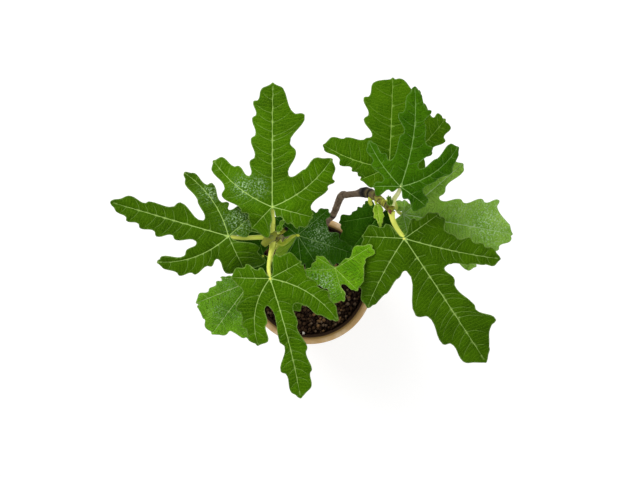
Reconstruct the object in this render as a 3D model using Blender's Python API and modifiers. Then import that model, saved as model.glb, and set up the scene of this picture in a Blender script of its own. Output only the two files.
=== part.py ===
"""A young fig tree in a round clay pot.

The pot and its soil are turned shapes. The trunk leans out of the soil and forks into a left limb and a long
right limb, which is split where it bends. Every leaf is one solid: a lobed blade and its stalk, made from the
headings, lengths and tooth widths of its lobes. Origin: centre of the pot's flat underside, +Z up.
"""

import math
from collections import namedtuple

import bmesh
import bpy
from mathutils import Vector, noise
from mathutils.geometry import delaunay_2d_cdt

MM = 0.001

# Pot and soil (metres)
POT_HEIGHT = 0.130
RIM_RADIUS = 0.075
RIM_WIDTH = 0.0075
RIM_DROP = 0.020
RIM_TAPER = 0.001
SHOULDER_DROP = 0.003
BODY_RADIUS = 0.0695
FOOT_RADIUS = 0.050
FOOT_BEVEL = 0.002
WALL = 0.0055
FLOOR = 0.008
LIP_ROUND = 0.003
DRAIN_HOLES = 4
DRAIN_RADIUS = 0.005
DRAIN_RING = 0.026
DRILL_SIDES = 16
DRILL_LENGTH = 0.032
SOIL_TOP = 0.118
SOIL_CROWN = 0.003
SOIL_PLATEAU = 0.028
SOIL_SHOULDER = 0.045
SOIL_RINGS = 12
LUMP_HEIGHT = 0.0035
LUMP_SPACING = 0.009
LUMPS_FROM = 0.016
LUMPS_FULL = 0.024
GROUND = SOIL_TOP + SOIL_CROWN
POT_STEPS = 48

GAP = 0.0003
MERGE = 0.00001

# Stems: points of the centre line in mm, the radius at each in mm, and the spans that end in a cut
TRUNK_SPANS = 4
STEM_LINE = [
    (0, 4, 115), (0.5, 6, 125), (2, 14, 146), (4, 26, 178), (5, 36, 205),
    (1, 41, 230), (-13, 45, 290), (-27, 48, 350), (-36, 50, 424),
]
STEM_RADII = [14, 9.2, 7.4, 6.6, 6.2, 5.0, 4.4, 4.2, 3.8]
STUB_LINE = [(-34, 50, 405), (-27, 55, 409), (-20, 59, 412)]
STUB_RADII = [2.4, 2.4, 1.9]
RIGHT_LINE = [
    (5, 34, 198), (11, 45, 215), (18, 66, 260), (25, 74, 283), (32, 91.5, 328),
    (37.5, 92.5, 344), (46, 93, 362), (55, 93.5, 385), (64, 88.5, 405), (71, 81, 425), (76.5, 76, 441),
]
RIGHT_RADII = [4.0, 3.4, 2.9, 2.9, 3.2, 2.8, 2.8, 4.3, 3.3, 2.8, 3.8]
RIGHT_CUTS = (4, 7)
LINE_STEPS = 5
LIMB_RESOLUTION = 2
STALK_RESOLUTION = 1
CORNER_ROOM = 1.10

# Leaves: lengths in mm, headings in degrees from +X towards +Y
LEAF_THICKNESS = 1.5
NOTCH = (0.77, 0.20)
SHOULDER = (0.91, 0.03)
TIP_NOTCH = (0.58, 0.09)
TIP_SHOULDER = (0.82, -0.02)
TOOTH_CROWDING = 1.3
TIP_ROUND = 1.3
TIP_WIDTH = 2.9
TIP_WIDTH_SHARE = 0.5
SINUS_ROUND = 1.5
SINUS_ROUND_SHARE = 0.4
FOLD = 0.16
FOLD_WIDTH = 12.0
STALK_STEPS = 7
STALK_FOOT = 1.5
STALK_UNDER_BLADE = 5.0
STALK_PULL = 0.35
STALK_RISE = 0.35
STALK_TAPER = 0.25
RIB_STEP = 22.0
RIB_REACH = 0.88

Lobe = namedtuple("Lobe", "heading length drop left right cut", defaults=((1.0, 1.0),))
Sinus = namedtuple("Sinus", "heading reach")
Leaf = namedtuple("Leaf", "base arch limb along out stalk edge")

# A lobe's left and right hold: distance from the leaf's base of the outermost and innermost tooth,
# then the reach of every tooth from the midrib, in mm. Its cut says how deep the notches between the
# teeth are on either side, as a share of the usual. Its drop is how far its tip hangs below the base.
# A leaf's edge is listed clockwise, seen from above, starting beside its stalk.
LEAVES = {
    "leaf_top_left": Leaf((-34, 78, 440), 7, "left", 0.99, 80, 2.1, [
        Lobe(226, 28, 8, (23, 23, 14), (20, 20, 11)),
        Sinus(187, 29),
        Lobe(142, 71, 16, (62, 43, 10, 21), (61, 47, 7, 9), (1, 0.6)),
        Sinus(125, 36),
        Lobe(90, 117, 18, (110, 41, 11, 18, 19, 20, 21), (111, 49, 10, 30, 22)),
        Sinus(60, 33),
        Lobe(39, 72, 14, (58, 42, 11, 9), (67, 50, 10, 18, 20), (0.4, 1)),
        Sinus(0, 36),
        Lobe(346, 39, 8, (38, 38, 4), (34, 13, 11, 14, 10)),
        Sinus(277, 4),
    ]),
    "leaf_left": Leaf((-75, 51, 430), 6, "left", 0.98, 178, 2.1, [
        Lobe(294, 37, 14, (36, 21, 21, 22), (30, 30, 17)),
        Sinus(246, 24),
        Lobe(200, 73, 16, (67, 24, 9, 19, 23, 21), (66, 39, 4, 2), (0.6, 1)),
        Sinus(191, 31),
        Lobe(164, 118, 20, (107, 46, 8, 13, 16, 19, 17), (99, 52, 11, 11, 18), (1, 0.7)),
        Sinus(145, 28),
        Lobe(125, 74, 16, (62, 40, 5, 6), (64, 25, 7, 16, 18), (0.4, 1)),
        Sinus(87, 25),
        Lobe(42, 33, 14, (26, 26, 15), (28, 28, 19)),
        Sinus(357, 4),
    ]),
    "leaf_bottom": Leaf((-36, 12, 440), 6, "left", 0.96, 266, 2.2, [
        Lobe(28, 33, 12, (27, 15, 13, 18), (32, 32, 7)),
        Sinus(7, 34),
        Lobe(328, 75, 18, (64, 38, 11, 18, 20), (66, 38, 4, 6, 5), (0.8, 0.4)),
        Sinus(313, 33),
        Lobe(284, 117, 22, (107, 44, 13, 17, 18, 15), (107, 57, 8, 12, 6), (0.5, 0.8)),
        Sinus(265, 26),
        Lobe(259, 65, 18, (58, 40, 9, 5), (60, 35, 10, 17, 26), (0.5, 1)),
        Sinus(204, 28),
        Lobe(179, 37, 12, (29, 29, 8), (32, 8, 9, 13, 10)),
        Sinus(92, 4),
    ]),
    "leaf_low_left": Leaf((-57, 7, 355), 6, "left", 0.60, 230, 1.8, [
        Lobe(266, 59, 12, (48, 23, 13, 15), (57, 57, 8), (0.5, 1)),
        Sinus(248, 55),
        Lobe(233, 68, 16, (59, 59, 12), (65, 60, 11, 17)),
        Sinus(211, 61),
        Lobe(202, 61, 14, (61, 61, 6), (54, 42, 8, 9)),
        Sinus(184, 36),
        Lobe(175, 32, 10, (30, 30, 2), (21, 7, 3, 12)),
        Sinus(55, 4),
    ]),
    "leaf_centre": Leaf((-11, 52, 399), 3, "left", 0.88, 310, 1.9, [
        Lobe(140, 26, 5, (20, 20, 6), (20, 20, 6)),
        Sinus(111, 19),
        Lobe(76, 23, 4, (12, 12, 5), (27, 27, 7)),
        Sinus(54, 28),
        Lobe(40, 39, 14, (33, 33, 6), (36, 29, 6, 8)),
        Sinus(10, 30),
        Lobe(342, 58, 34, (51, 37, 8, 14), (56, 52, 9, 14)),
        Sinus(322, 36),
        Lobe(303, 40, 13, (36, 36, 9), (34, 34, 7)),
        Sinus(286, 35),
        Lobe(277, 32, 12, (28, 28, 3), (29, 29, 3)),
        Sinus(258, 26),
        Lobe(236, 28, 4, (22, 22, 7), (20, 20, 6)),
        Sinus(190, 4),
    ]),
    "leaf_under_left": Leaf((-44, 32, 395), 3, "left", 0.80, 235, 1.7, [
        Lobe(300, 24, 6, (18, 18, 6), (18, 18, 6)),
        Sinus(275, 20),
        Lobe(250, 31, 8, (25, 25, 7), (25, 25, 7)),
        Sinus(226, 24),
        Lobe(203, 38, 9, (31, 22, 6, 7), (31, 31, 8)),
        Sinus(177, 26),
        Lobe(151, 47, 8, (39, 25, 7, 8), (39, 25, 7, 8)),
        Sinus(126, 26),
        Lobe(103, 34, 5, (27, 27, 8), (22, 22, 8)),
        Sinus(57, 4),
    ]),
    "leaf_top_right": Leaf((83, 96, 460), 6, "right", 0.98, 75, 2.1, [
        Lobe(179, 25, 8, (17, 7, 7, 5), (22, 22, 4)),
        Sinus(160, 17),
        Lobe(124, 51, 12, (44, 31, 7, 11), (44, 32, 4, 6)),
        Sinus(110, 26),
        Lobe(81, 94, 16, (81, 43, 7, 12, 8), (84, 39, 8, 18, 15, 24)),
        Sinus(45, 24),
        Lobe(34, 66, 16, (54, 37, 4, 2), (56, 28, 9, 16, 14), (0.3, 0.3)),
        Sinus(351, 21),
        Lobe(324, 30, 10, (28, 28, 6), (21, 11, 10, 5)),
        Sinus(250, 4),
    ]),
    "leaf_back_right": Leaf((75, 115, 422), 6, "right", 0.79, 60, 2.0, [
        Lobe(202, 29, 8, (22, 12, 11, 13), (29, 29, 7)),
        Sinus(182, 35),
        Lobe(160, 66, 14, (62, 44, 5, 13), (60, 28, 10, 14, 20), (1, 0.5)),
        Sinus(121, 34),
        Lobe(87, 87, 16, (80, 44, 19, 27, 26), (85, 62, 11, 26, 32)),
        Sinus(50, 64),
        Lobe(41, 72, 14, (70, 70, 9), (70, 38, 10, 16, 17)),
        Sinus(13, 34),
        Lobe(344, 39, 8, (35, 35, 6), (27, 27, 13)),
        Sinus(272, 4),
    ]),
    "leaf_bottom_right": Leaf((89, 49, 427), 5, "right", 0.99, 281, 2.3, [
        Lobe(35, 41, 8, (32, 17, 7, 11), (42, 42, 8)),
        Sinus(13, 39),
        Lobe(348, 94, 14, (83, 45, 9, 11, 14, 13), (88, 46, 5, 8, 12, 15), (1, 0.3)),
        Sinus(325, 47),
        Lobe(304, 143, 26, (131, 56, 11, 30, 20, 18), (129, 67, 18, 25, 31), (0.6, 1)),
        Sinus(272, 31),
        Lobe(244, 75, 45, (66, 34, 6, 10, 13), (69, 60, 10, 18), (0.3, 1)),
        Sinus(211, 44),
        Lobe(177, 39, 26, (38, 38, 12), (32, 17, 11, 13)),
        Sinus(117, 4),
    ]),
    "leaf_right": Leaf((90, 72, 400), 6, "right", 0.89, 20, 1.9, [
        Lobe(86, 14, 2, (12, 12, 3), (8, 8, 7)),
        Sinus(42, 20),
        Lobe(40, 77, 16, (62, 34, 9, 7), (66, 42, 5, 8), (1, 0.5)),
        Sinus(23, 38),
        Lobe(350, 109, 18, (102, 50, 10, 30, 28, 24), (107, 83, 8, 18, 28), (0.6, 1)),
        Sinus(327, 73),
        Lobe(325, 88, 18, (86, 86, 7), (83, 56, 8, 10), (1, 0.5)),
        Sinus(302, 41),
        Lobe(282, 37, 12, (33, 33, 8), (23, 23, 9)),
        Sinus(150, 4),
    ]),
    "leaf_under_right": Leaf((67, 71, 397), 4, "right", 0.76, 250, 1.8, [
        Lobe(279, 34, 8, (22, 22, 10), (32, 32, 10)),
        Sinus(250, 35),
        Lobe(231, 41, 8, (37, 37, 8), (40, 40, 8)),
        Sinus(211, 43),
        Lobe(190, 39, 8, (37, 37, 8), (35, 24, 7, 8)),
        Sinus(162, 22),
        Lobe(134, 16, 6, (14, 14, 5), (9, 9, 3)),
        Sinus(80, 4),
    ]),
    "leaf_curled": Leaf((25, 20, 393), 3, "left", 0.66, 330, 1.7, [
        Lobe(33, 41, -24, (26, 12, 8, 3), (39, 26, 8, 11)),
        Sinus(2, 27),
        Lobe(316, 30, -8, (26, 26, 12), (24, 24, 4)),
        Sinus(294, 17),
        Lobe(285, 33, 4, (25, 25, 3), (30, 14, 9, 14)),
        Sinus(204, 24),
        Lobe(184, 32, 0, (28, 28, 5), (25, 25, 2)),
        Sinus(173, 23),
        Lobe(148, 22, -8, (20, 20, 3), (16, 16, 4)),
        Sinus(90, 4),
    ]),
    "leaf_low_small": Leaf((-24, -6, 300), 2, "left", 0.35, 260, 1.4, [
        Lobe(305, 25, 4, (19, 8, 7, 9), (19, 8, 7, 9)),
        Sinus(110, 2),
    ]),
    "leaf_young_left": Leaf((-31, 34, 381), 1, "left", 0.84, 275, 1.2, [
        Lobe(38, 27, -3, (21, 7, 5, 7, 5), (21, 7, 5, 7, 6), (0.6, 0.6)),
        Sinus(218, 2),
    ]),
    "leaf_young_right": Leaf((65, 80, 405), 1, "right", 0.8, 270, 1.2, [
        Lobe(277, 21, -5, (15, 5, 3, 5, 5), (15, 5, 2, 5, 5), (0.6, 0.6)),
        Sinus(97, 2),
    ]),
}

COLOURS = {
    "pot": ((0.55, 0.36, 0.19), 0.75),
    "soil": ((0.030, 0.016, 0.008), 0.95),
    "bark": ((0.10, 0.075, 0.055), 0.85),
    "leaf": ((0.042, 0.120, 0.012), 0.45),
}


def clear_scene():
    for old in list(bpy.data.objects):
        bpy.data.objects.remove(old)


def material(name):
    colour, roughness = COLOURS[name]
    made = bpy.data.materials.get(name) or bpy.data.materials.new(name)
    made.use_nodes = True
    shader = made.node_tree.nodes["Principled BSDF"]
    shader.inputs["Base Color"].default_value = (*colour, 1)
    shader.inputs["Roughness"].default_value = roughness
    shader.inputs["Metallic"].default_value = 0
    return made


def smooth_line(points, steps):
    """Catmull-Rom curve through the points, with the given steps a span."""
    points = [Vector(p) for p in points]
    count = len(points)
    line = []
    for i in range(count - 1):
        b, c = points[i], points[i + 1]
        a = points[i - 1] if i else 2 * b - c
        d = points[i + 2] if i + 2 < count else 2 * c - b
        for k in range(steps):
            t = k / steps
            line.append(0.5 * (2 * b + (c - a) * t + (2 * a - 5 * b + 4 * c - d) * t**2
                               + (3 * b - a - 3 * c + d) * t**3))
    line.append(points[-1].copy())
    return line


def new_object(name, mesh, look, collection):
    made = bpy.data.objects.new(name, mesh)
    mesh.materials.clear()
    mesh.materials.append(material(look))
    collection.objects.link(made)
    return made


def baked(thing):
    """A mesh of the object as it is evaluated, with loose caps welded; the object is removed."""
    bpy.context.view_layer.update()
    evaluated = thing.evaluated_get(bpy.context.evaluated_depsgraph_get())
    mesh = bpy.data.meshes.new_from_object(evaluated)
    mesh.transform(thing.matrix_world)
    work = bmesh.new()
    work.from_mesh(mesh)
    bmesh.ops.remove_doubles(work, verts=work.verts, dist=MERGE)
    bmesh.ops.recalc_face_normals(work, faces=work.faces)
    work.to_mesh(mesh)
    work.free()
    bpy.data.objects.remove(thing)
    return mesh


def baked_in_place(thing):
    """The evaluated mesh, welded, with the object kept and its modifiers cleared."""
    bpy.context.view_layer.update()
    evaluated = thing.evaluated_get(bpy.context.evaluated_depsgraph_get())
    mesh = bpy.data.meshes.new_from_object(evaluated)
    thing.modifiers.clear()
    work = bmesh.new()
    work.from_mesh(mesh)
    bmesh.ops.remove_doubles(work, verts=work.verts, dist=MERGE)
    bmesh.ops.recalc_face_normals(work, faces=work.faces)
    work.to_mesh(mesh)
    work.free()
    return mesh


def boolean(target, operation, tools):
    """The target's mesh joined with, or cut by, the tool objects, which are removed."""
    box = bpy.data.collections.new("tools")
    bpy.context.scene.collection.children.link(box)
    for tool in tools:
        for owner in list(tool.users_collection):
            owner.objects.unlink(tool)
        box.objects.link(tool)
    step = target.modifiers.new("join", "BOOLEAN")
    step.operation = operation
    step.solver = "EXACT"
    step.operand_type = "COLLECTION"
    step.collection = box
    bpy.context.view_layer.update()
    evaluated = target.evaluated_get(bpy.context.evaluated_depsgraph_get())
    target.data = bpy.data.meshes.new_from_object(evaluated)
    target.modifiers.clear()
    for tool in tools:
        bpy.data.objects.remove(tool)
    bpy.data.collections.remove(box)


def turned(name, profile, look, collection):
    """A closed solid from (radius, height) points run down its outer side, top to bottom."""
    mesh = bpy.data.meshes.new(name)
    edges = [(i, i + 1) for i in range(len(profile) - 1)]
    mesh.from_pydata([(r, 0, z) for r, z in profile], edges, [])
    made = new_object(name, mesh, look, collection)
    screw = made.modifiers.new("turn", "SCREW")
    screw.steps = POT_STEPS
    screw.render_steps = POT_STEPS
    screw.use_merge_vertices = True
    screw.merge_threshold = MERGE
    return made


def arc(centre, radius, start, end, steps):
    """Points of an arc in the profile plane; angles in degrees."""
    angles = [math.radians(start + (end - start) * k / steps) for k in range(steps + 1)]
    return [(centre[0] + radius * math.cos(a), centre[1] + radius * math.sin(a)) for a in angles]


def inner_radius(height):
    """Radius of the pot's inner wall at a height."""
    share = (height - FLOOR) / (POT_HEIGHT - LIP_ROUND - FLOOR)
    top = RIM_RADIUS - RIM_WIDTH
    bottom = FOOT_RADIUS - WALL
    return bottom + (top - bottom) * share


def build_pot(collection):
    top = POT_HEIGHT - LIP_ROUND
    shoulder = POT_HEIGHT - RIM_DROP
    lip_in = RIM_RADIUS - RIM_WIDTH + LIP_ROUND
    profile = [
        (0, FLOOR),
        (inner_radius(FLOOR), FLOOR),
        *arc((lip_in, top), LIP_ROUND, 180, 90, 3),
        *arc((RIM_RADIUS - LIP_ROUND, top), LIP_ROUND, 90, 0, 3),
        (RIM_RADIUS - RIM_TAPER, shoulder),
        (BODY_RADIUS, shoulder - SHOULDER_DROP),
        (FOOT_RADIUS + FOOT_BEVEL, FOOT_BEVEL),
        (FOOT_RADIUS, 0),
        (0, 0),
    ]
    pot = turned("pot", profile, "pot", collection)
    pot.data = baked_in_place(pot)
    drills = []
    for k in range(DRAIN_HOLES):
        angle = math.tau * (k + 0.5) / DRAIN_HOLES
        bpy.ops.mesh.primitive_cylinder_add(
            vertices=DRILL_SIDES, radius=DRAIN_RADIUS, depth=DRILL_LENGTH,
            location=(DRAIN_RING * math.cos(angle), DRAIN_RING * math.sin(angle), 0))
        drills.append(bpy.context.object)
    boolean(pot, "DIFFERENCE", drills)
    return pot


def soil_level(radius, wall):
    """Height of the soil's mean surface at a distance from the pot's axis."""
    if radius < SOIL_SHOULDER:
        fall = max(radius - SOIL_PLATEAU, 0) / (SOIL_SHOULDER - SOIL_PLATEAU)
        return GROUND - SOIL_CROWN * fall
    return SOIL_TOP - SOIL_CROWN * (radius - SOIL_SHOULDER) / (wall - SOIL_SHOULDER)


def build_soil(collection):
    edge_top = SOIL_TOP - SOIL_CROWN
    wall = inner_radius(edge_top) - GAP
    radii = [wall * k / SOIL_RINGS for k in range(SOIL_RINGS + 1)]
    profile = [(radius, soil_level(radius, wall)) for radius in radii]
    profile += [(inner_radius(FLOOR + GAP) - GAP, FLOOR + GAP), (0, FLOOR + GAP)]
    soil = turned("soil", profile, "soil", collection)
    soil.data = baked_in_place(soil)
    for vert in soil.data.vertices:
        reach = math.hypot(vert.co.x, vert.co.y)
        if vert.co.z < edge_top - GAP or reach > wall - GAP:
            continue
        share = min(max((reach - LUMPS_FROM) / (LUMPS_FULL - LUMPS_FROM), 0), 1)
        vert.co.z += LUMP_HEIGHT * share * noise.noise(vert.co / LUMP_SPACING)
    return soil


def tube(name, points, radii, look, collection, resolution=LIMB_RESOLUTION):
    """A tapering limb: a poly curve through the points, with its own radius at each, all in mm."""
    curve = bpy.data.curves.new(name, "CURVE")
    curve.dimensions = "3D"
    curve.bevel_depth = MM
    curve.bevel_resolution = resolution
    curve.use_fill_caps = True
    spline = curve.splines.new("POLY")
    spline.points.add(len(points) - 1)
    for spot, point, radius in zip(spline.points, points, radii):
        spot.co = (*(Vector(point) * MM), 1)
        spot.radius = radius
    holder = bpy.data.objects.new(name, curve)
    collection.objects.link(holder)
    mesh = baked(holder)
    mesh.name = name
    return new_object(name, mesh, look, collection)


def stem_course(line, radii, steps=LINE_STEPS):
    """Points and radii of a stem's centre line, smoothed together."""
    sizes = [size.x for size in smooth_line([(r, 0, 0) for r in radii], steps)]
    return smooth_line(line, steps), sizes


def between(points, sizes, start, end):
    """The stretch of a stem from span start to span end, with half a gap left at each cut.

    A cut lies in the middle of a straight step, so the two faces at it are parallel.
    """
    first = start * LINE_STEPS
    last = end * LINE_STEPS
    part = [point.copy() for point in points[first:last + 2]]
    radii = sizes[first:last + 2]
    half_gap = GAP / MM / 2
    if start:
        step = part[1] - part[0]
        part[0] += step * (0.5 + half_gap / step.length)
    if last + 1 < len(points):
        step = part[-1] - part[-2]
        part[-1] -= step * (0.5 + half_gap / step.length)
    return part, radii


def build_limbs(collection):
    stem = stem_course(STEM_LINE, STEM_RADII)
    trunk = tube("trunk", *between(*stem, 0, TRUNK_SPANS), "bark", collection)
    bpy.ops.mesh.primitive_cube_add(size=2 * RIM_RADIUS, location=(0, 0, GROUND + GAP - RIM_RADIUS))
    boolean(trunk, "DIFFERENCE", [bpy.context.object])
    left = tube("left_limb", *between(*stem, TRUNK_SPANS, len(STEM_LINE) - 1), "bark", collection)
    stub = tube("stub", *stem_course(STUB_LINE, STUB_RADII), "bark", collection)
    boolean(left, "UNION", [stub])
    course = stem_course(RIGHT_LINE, RIGHT_RADII)
    marks = [0, *RIGHT_CUTS, len(RIGHT_LINE) - 1]
    names = ("right_limb", "right_elbow", "right_tip")
    pieces = [tube(name, *between(*course, start, end), "bark", collection)
              for name, start, end in zip(names, marks, marks[1:])]
    points, sizes = stem
    room = [size * CORNER_ROOM + GAP / MM for size in sizes]
    boolean(pieces[0], "DIFFERENCE", [tube("stem_space", points, room, "bark", collection)])


STEMS = {"left": (STEM_LINE, STEM_RADII, TRUNK_SPANS), "right": (RIGHT_LINE, RIGHT_RADII, 0)}


def on_limb(limb, share):
    """Point, direction and radius of a limb's centre line at a share of its spans."""
    line, radii, first = STEMS[limb]
    points, sizes = stem_course(line, radii)
    place = (first + (len(line) - 1 - first) * share) * LINE_STEPS
    index = min(int(place), len(points) - 2)
    step = points[index + 1] - points[index]
    return points[index] + step * (place - index), step.normalized(), sizes[index]


def direction(heading):
    angle = math.radians(heading)
    return Vector((math.cos(angle), math.sin(angle)))


def side_points(lobe, teeth, side, cut):
    """Tooth tips and the notches before them down one side of a lobe, from its tip inwards."""
    outer, inner, *reaches = teeth
    spans = max(len(reaches) - 1, 1)
    tips = [Vector((lobe.length, 0))]
    for k, reach in enumerate(reaches):
        tips.append(Vector((outer + (inner - outer) * (k / spans) ** TOOTH_CROWDING, reach)))
    points = [Vector((lobe.length - TIP_ROUND, min(TIP_WIDTH, TIP_WIDTH_SHARE * reaches[0])))]
    for k, (before, tooth) in enumerate(zip(tips, tips[1:])):
        run = tooth - before
        inward = Vector((-run.y, run.x))
        for share, depth in (NOTCH, SHOULDER) if k else (TIP_NOTCH, TIP_SHOULDER):
            points.append(before + run * share + inward * depth * (cut if k else 1))
        points.append(tooth)
    ahead = direction(lobe.heading)
    across = Vector((-ahead.y, ahead.x)) * side
    return [ahead * point.x + across * point.y for point in points]


def outline(leaf):
    """The leaf's edge in plan, clockwise, relative to its base."""
    points = []
    for item in leaf.edge:
        ahead = direction(item.heading)
        if isinstance(item, Sinus):
            half = min(SINUS_ROUND, SINUS_ROUND_SHARE * item.reach)
            across = Vector((-ahead.y, ahead.x)) * half
            points += [ahead * item.reach + across, ahead * item.reach - across]
            continue
        points += reversed(side_points(item, item.left, 1, item.cut[0]))
        points.append(ahead * item.length)
        points += side_points(item, item.right, -1, item.cut[1])
    return points


def lobes_of(leaf):
    return [item for item in leaf.edge if isinstance(item, Lobe)]


def height(leaf, spot):
    """How high the blade stands over the leaf's base at a spot of its plan."""
    reach = spot.length
    if reach < 1e-6:
        return 0.0
    bearing = math.degrees(math.atan2(spot.y, spot.x))
    ring = sorted(lobes_of(leaf), key=lambda lobe: (bearing - lobe.heading) % 360)
    before, after = ring[0], ring[-1]
    behind = (bearing - before.heading) % 360
    ahead = (after.heading - bearing) % 360
    share = behind / max(behind + ahead, 1e-6)
    share = share * share * (3 - 2 * share)
    slope = before.drop / before.length * (1 - share) + after.drop / after.length * share
    length = before.length * (1 - share) + after.length * share
    part = reach / length
    side = reach * math.sin(math.radians(min(behind, ahead, 90)))
    fold = FOLD * FOLD_WIDTH * (1 - math.exp(-side / FOLD_WIDTH))
    return fold - slope * reach + 4 * leaf.arch * part * (1 - part)


def blade_mesh(name, leaf):
    """The open upper surface of the blade, its midribs among its edges."""
    edge = outline(leaf)
    spots = list(edge)
    links = [(i, (i + 1) % len(edge)) for i in range(len(edge))]
    centre = len(spots)
    spots.append(Vector((0, 0)))
    for lobe in lobes_of(leaf):
        last = centre
        ribs = max(int(lobe.length / RIB_STEP), 1)
        for k in range(1, ribs + 1):
            spots.append(direction(lobe.heading) * lobe.length * RIB_REACH * k / ribs)
            links.append((last, len(spots) - 1))
            last = len(spots) - 1
    flat, _, faces, *_ = delaunay_2d_cdt(spots, links, [], 1, 1e-4)
    base = Vector(leaf.base)
    solid = [(base + Vector((spot.x, spot.y, height(leaf, spot)))) * MM for spot in flat]
    mesh = bpy.data.meshes.new(name)
    mesh.from_pydata(solid, [], [tuple(face) for face in faces])
    return mesh


def stalk_line(leaf):
    """Centre line of the leaf stalk, from the side of its limb to the underside of the blade."""
    root, axis, radius = on_limb(leaf.limb, leaf.along)
    base = Vector(leaf.base)
    outward = direction(leaf.out).to_3d()
    outward = (outward - axis * outward.dot(axis)).normalized()
    foot = root + outward * (radius + GAP / MM)
    start = foot + outward * STALK_FOOT
    main = max(lobes_of(leaf), key=lambda lobe: lobe.length)
    inward = direction(main.heading).to_3d()
    end = base - Vector((0, 0, LEAF_THICKNESS))
    pull = STALK_PULL * (end - start).length
    after = start + outward * pull
    before = end - (inward + Vector((0, 0, STALK_RISE))).normalized() * pull
    line = [foot]
    for k in range(STALK_STEPS + 1):
        t = k / STALK_STEPS
        u = 1 - t
        line.append(start * u**3 + 3 * after * u * u * t + 3 * before * u * t * t + end * t**3)
    tuck = inward * STALK_UNDER_BLADE
    tuck.z = height(leaf, tuck.to_2d())
    line.append(end + tuck)
    return line


def build_leaf(name, leaf, collection):
    blade = new_object(name, blade_mesh(name, leaf), "leaf", collection)
    shell = blade.modifiers.new("thickness", "SOLIDIFY")
    shell.thickness = LEAF_THICKNESS * MM
    shell.offset = -1
    blade.data = baked_in_place(blade)
    line = stalk_line(leaf)
    radii = [leaf.stalk * (1 - STALK_TAPER * k / (len(line) - 1)) for k in range(len(line))]
    stalk = tube(name + "_stalk", line, radii, "leaf", collection, STALK_RESOLUTION)
    boolean(blade, "UNION", [stalk])
    return blade


def main():
    clear_scene()
    tree = bpy.data.collections.new("fig_tree_in_pot")
    bpy.context.scene.collection.children.link(tree)
    build_pot(tree)
    build_soil(tree)
    build_limbs(tree)
    for name, leaf in LEAVES.items():
        build_leaf(name, leaf, tree)


main()
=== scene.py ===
import math
import random
from collections import namedtuple

import bmesh
import bpy
import numpy as np
from mathutils import Matrix, Vector, noise
from mathutils.geometry import delaunay_2d_cdt


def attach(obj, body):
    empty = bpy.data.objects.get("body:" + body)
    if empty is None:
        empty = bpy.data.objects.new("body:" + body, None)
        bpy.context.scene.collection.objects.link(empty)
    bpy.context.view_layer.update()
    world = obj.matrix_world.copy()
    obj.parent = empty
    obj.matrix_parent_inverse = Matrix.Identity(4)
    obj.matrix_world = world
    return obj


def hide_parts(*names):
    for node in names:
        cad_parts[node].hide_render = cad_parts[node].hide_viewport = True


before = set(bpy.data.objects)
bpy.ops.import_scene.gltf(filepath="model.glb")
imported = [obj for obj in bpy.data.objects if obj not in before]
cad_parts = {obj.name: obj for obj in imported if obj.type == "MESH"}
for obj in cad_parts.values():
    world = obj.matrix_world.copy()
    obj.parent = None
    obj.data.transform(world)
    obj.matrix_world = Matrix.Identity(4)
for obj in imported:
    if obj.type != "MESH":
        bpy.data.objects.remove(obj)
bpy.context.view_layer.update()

# Looks of the potted fig tree. Lengths are in mm up to the moment a mesh is made, as in the part's source.

MM = 0.001

# ---- stems, as the part has them
TRUNK_SPANS = 4
STEM_LINE = [
    (0, 4, 115), (0.5, 6, 125), (2, 14, 146), (4, 26, 178), (5, 36, 205),
    (1, 41, 230), (-13, 45, 290), (-27, 48, 350), (-36, 50, 424),
]
STEM_RADII = [14, 9.2, 7.4, 6.6, 6.2, 5.0, 4.4, 4.2, 3.8]
STUB_LINE = [(-34, 50, 405), (-27, 55, 409), (-20, 59, 412)]
STUB_RADII = [2.4, 2.4, 1.9]
# The swollen end of the stem that the top three leaf stalks grow from
CROWN_LINE = [(-43, 43, 418), (-37, 49.5, 420.5), (-30, 56, 420)]
CROWN_RADII = [3.0, 4.3, 3.2]
RIGHT_LINE = [
    (5, 34, 198), (11, 45, 215), (18, 66, 260), (25, 74, 283), (32, 91.5, 328),
    (37.5, 92.5, 344), (46, 93, 362), (55, 93.5, 385), (64, 88.5, 405), (71, 81, 425), (76.5, 76, 441),
]
RIGHT_RADII = [4.0, 3.4, 2.9, 2.9, 3.2, 2.8, 2.8, 4.3, 3.3, 2.8, 3.8]
BOUGH_SWELL = 1.17
LINE_STEPS = 5
STEMS = {"left": (STEM_LINE, STEM_RADII, TRUNK_SPANS), "right": (RIGHT_LINE, RIGHT_RADII, 0)}

# ---- leaves, as the part has them but for a few fuller or more pointed lobes
NOTCH = (0.77, 0.20)
SHOULDER = (0.91, 0.03)
TIP_NOTCH = (0.50, -0.02)
TIP_SHOULDER = (0.82, -0.06)
TOOTH_CROWDING = 1.3
TIP_ROUND = 1.6
TIP_WIDTH = 2.3
TIP_WIDTH_SHARE = 0.5
SINUS_ROUND = 1.5
SINUS_ROUND_SHARE = 0.4
FOLD_RISE = 1.9
FOLD_WIDTH = 12.0
STALK_FOOT = 1.5
STALK_UNDER_BLADE = 3.0
STALK_PULL = 0.35
STALK_RISE = 0.35
STALK_TAPER = 0.25
STALK_SWELL = 1.12
STALK_UNDER = 1.2
STALK_DIVE = 0.8
STALK_FLARE = 0.35
STALK_TIP = 0.35
STALK_STEPS = 28
STALK_SIDES = 20

# A bend is how far a midrib bows to the left of its heading, as a share of its length
Lobe = namedtuple("Lobe", "heading length drop left right cut bend", defaults=((1.0, 1.0), 0.0))
Sinus = namedtuple("Sinus", "heading reach")
Leaf = namedtuple("Leaf", "base arch limb along out stalk look edge")


def planned(base, arch, limb, along, out, stalk, look, *edge):
    """A leaf, its edge listed clockwise: a lobe's values, then heading and reach of the sinus after it."""
    edge = [Lobe(*item) if len(item) > 2 else Sinus(*item) for item in edge]
    return Leaf(base, arch, limb, along, out, stalk, look, edge)


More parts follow.
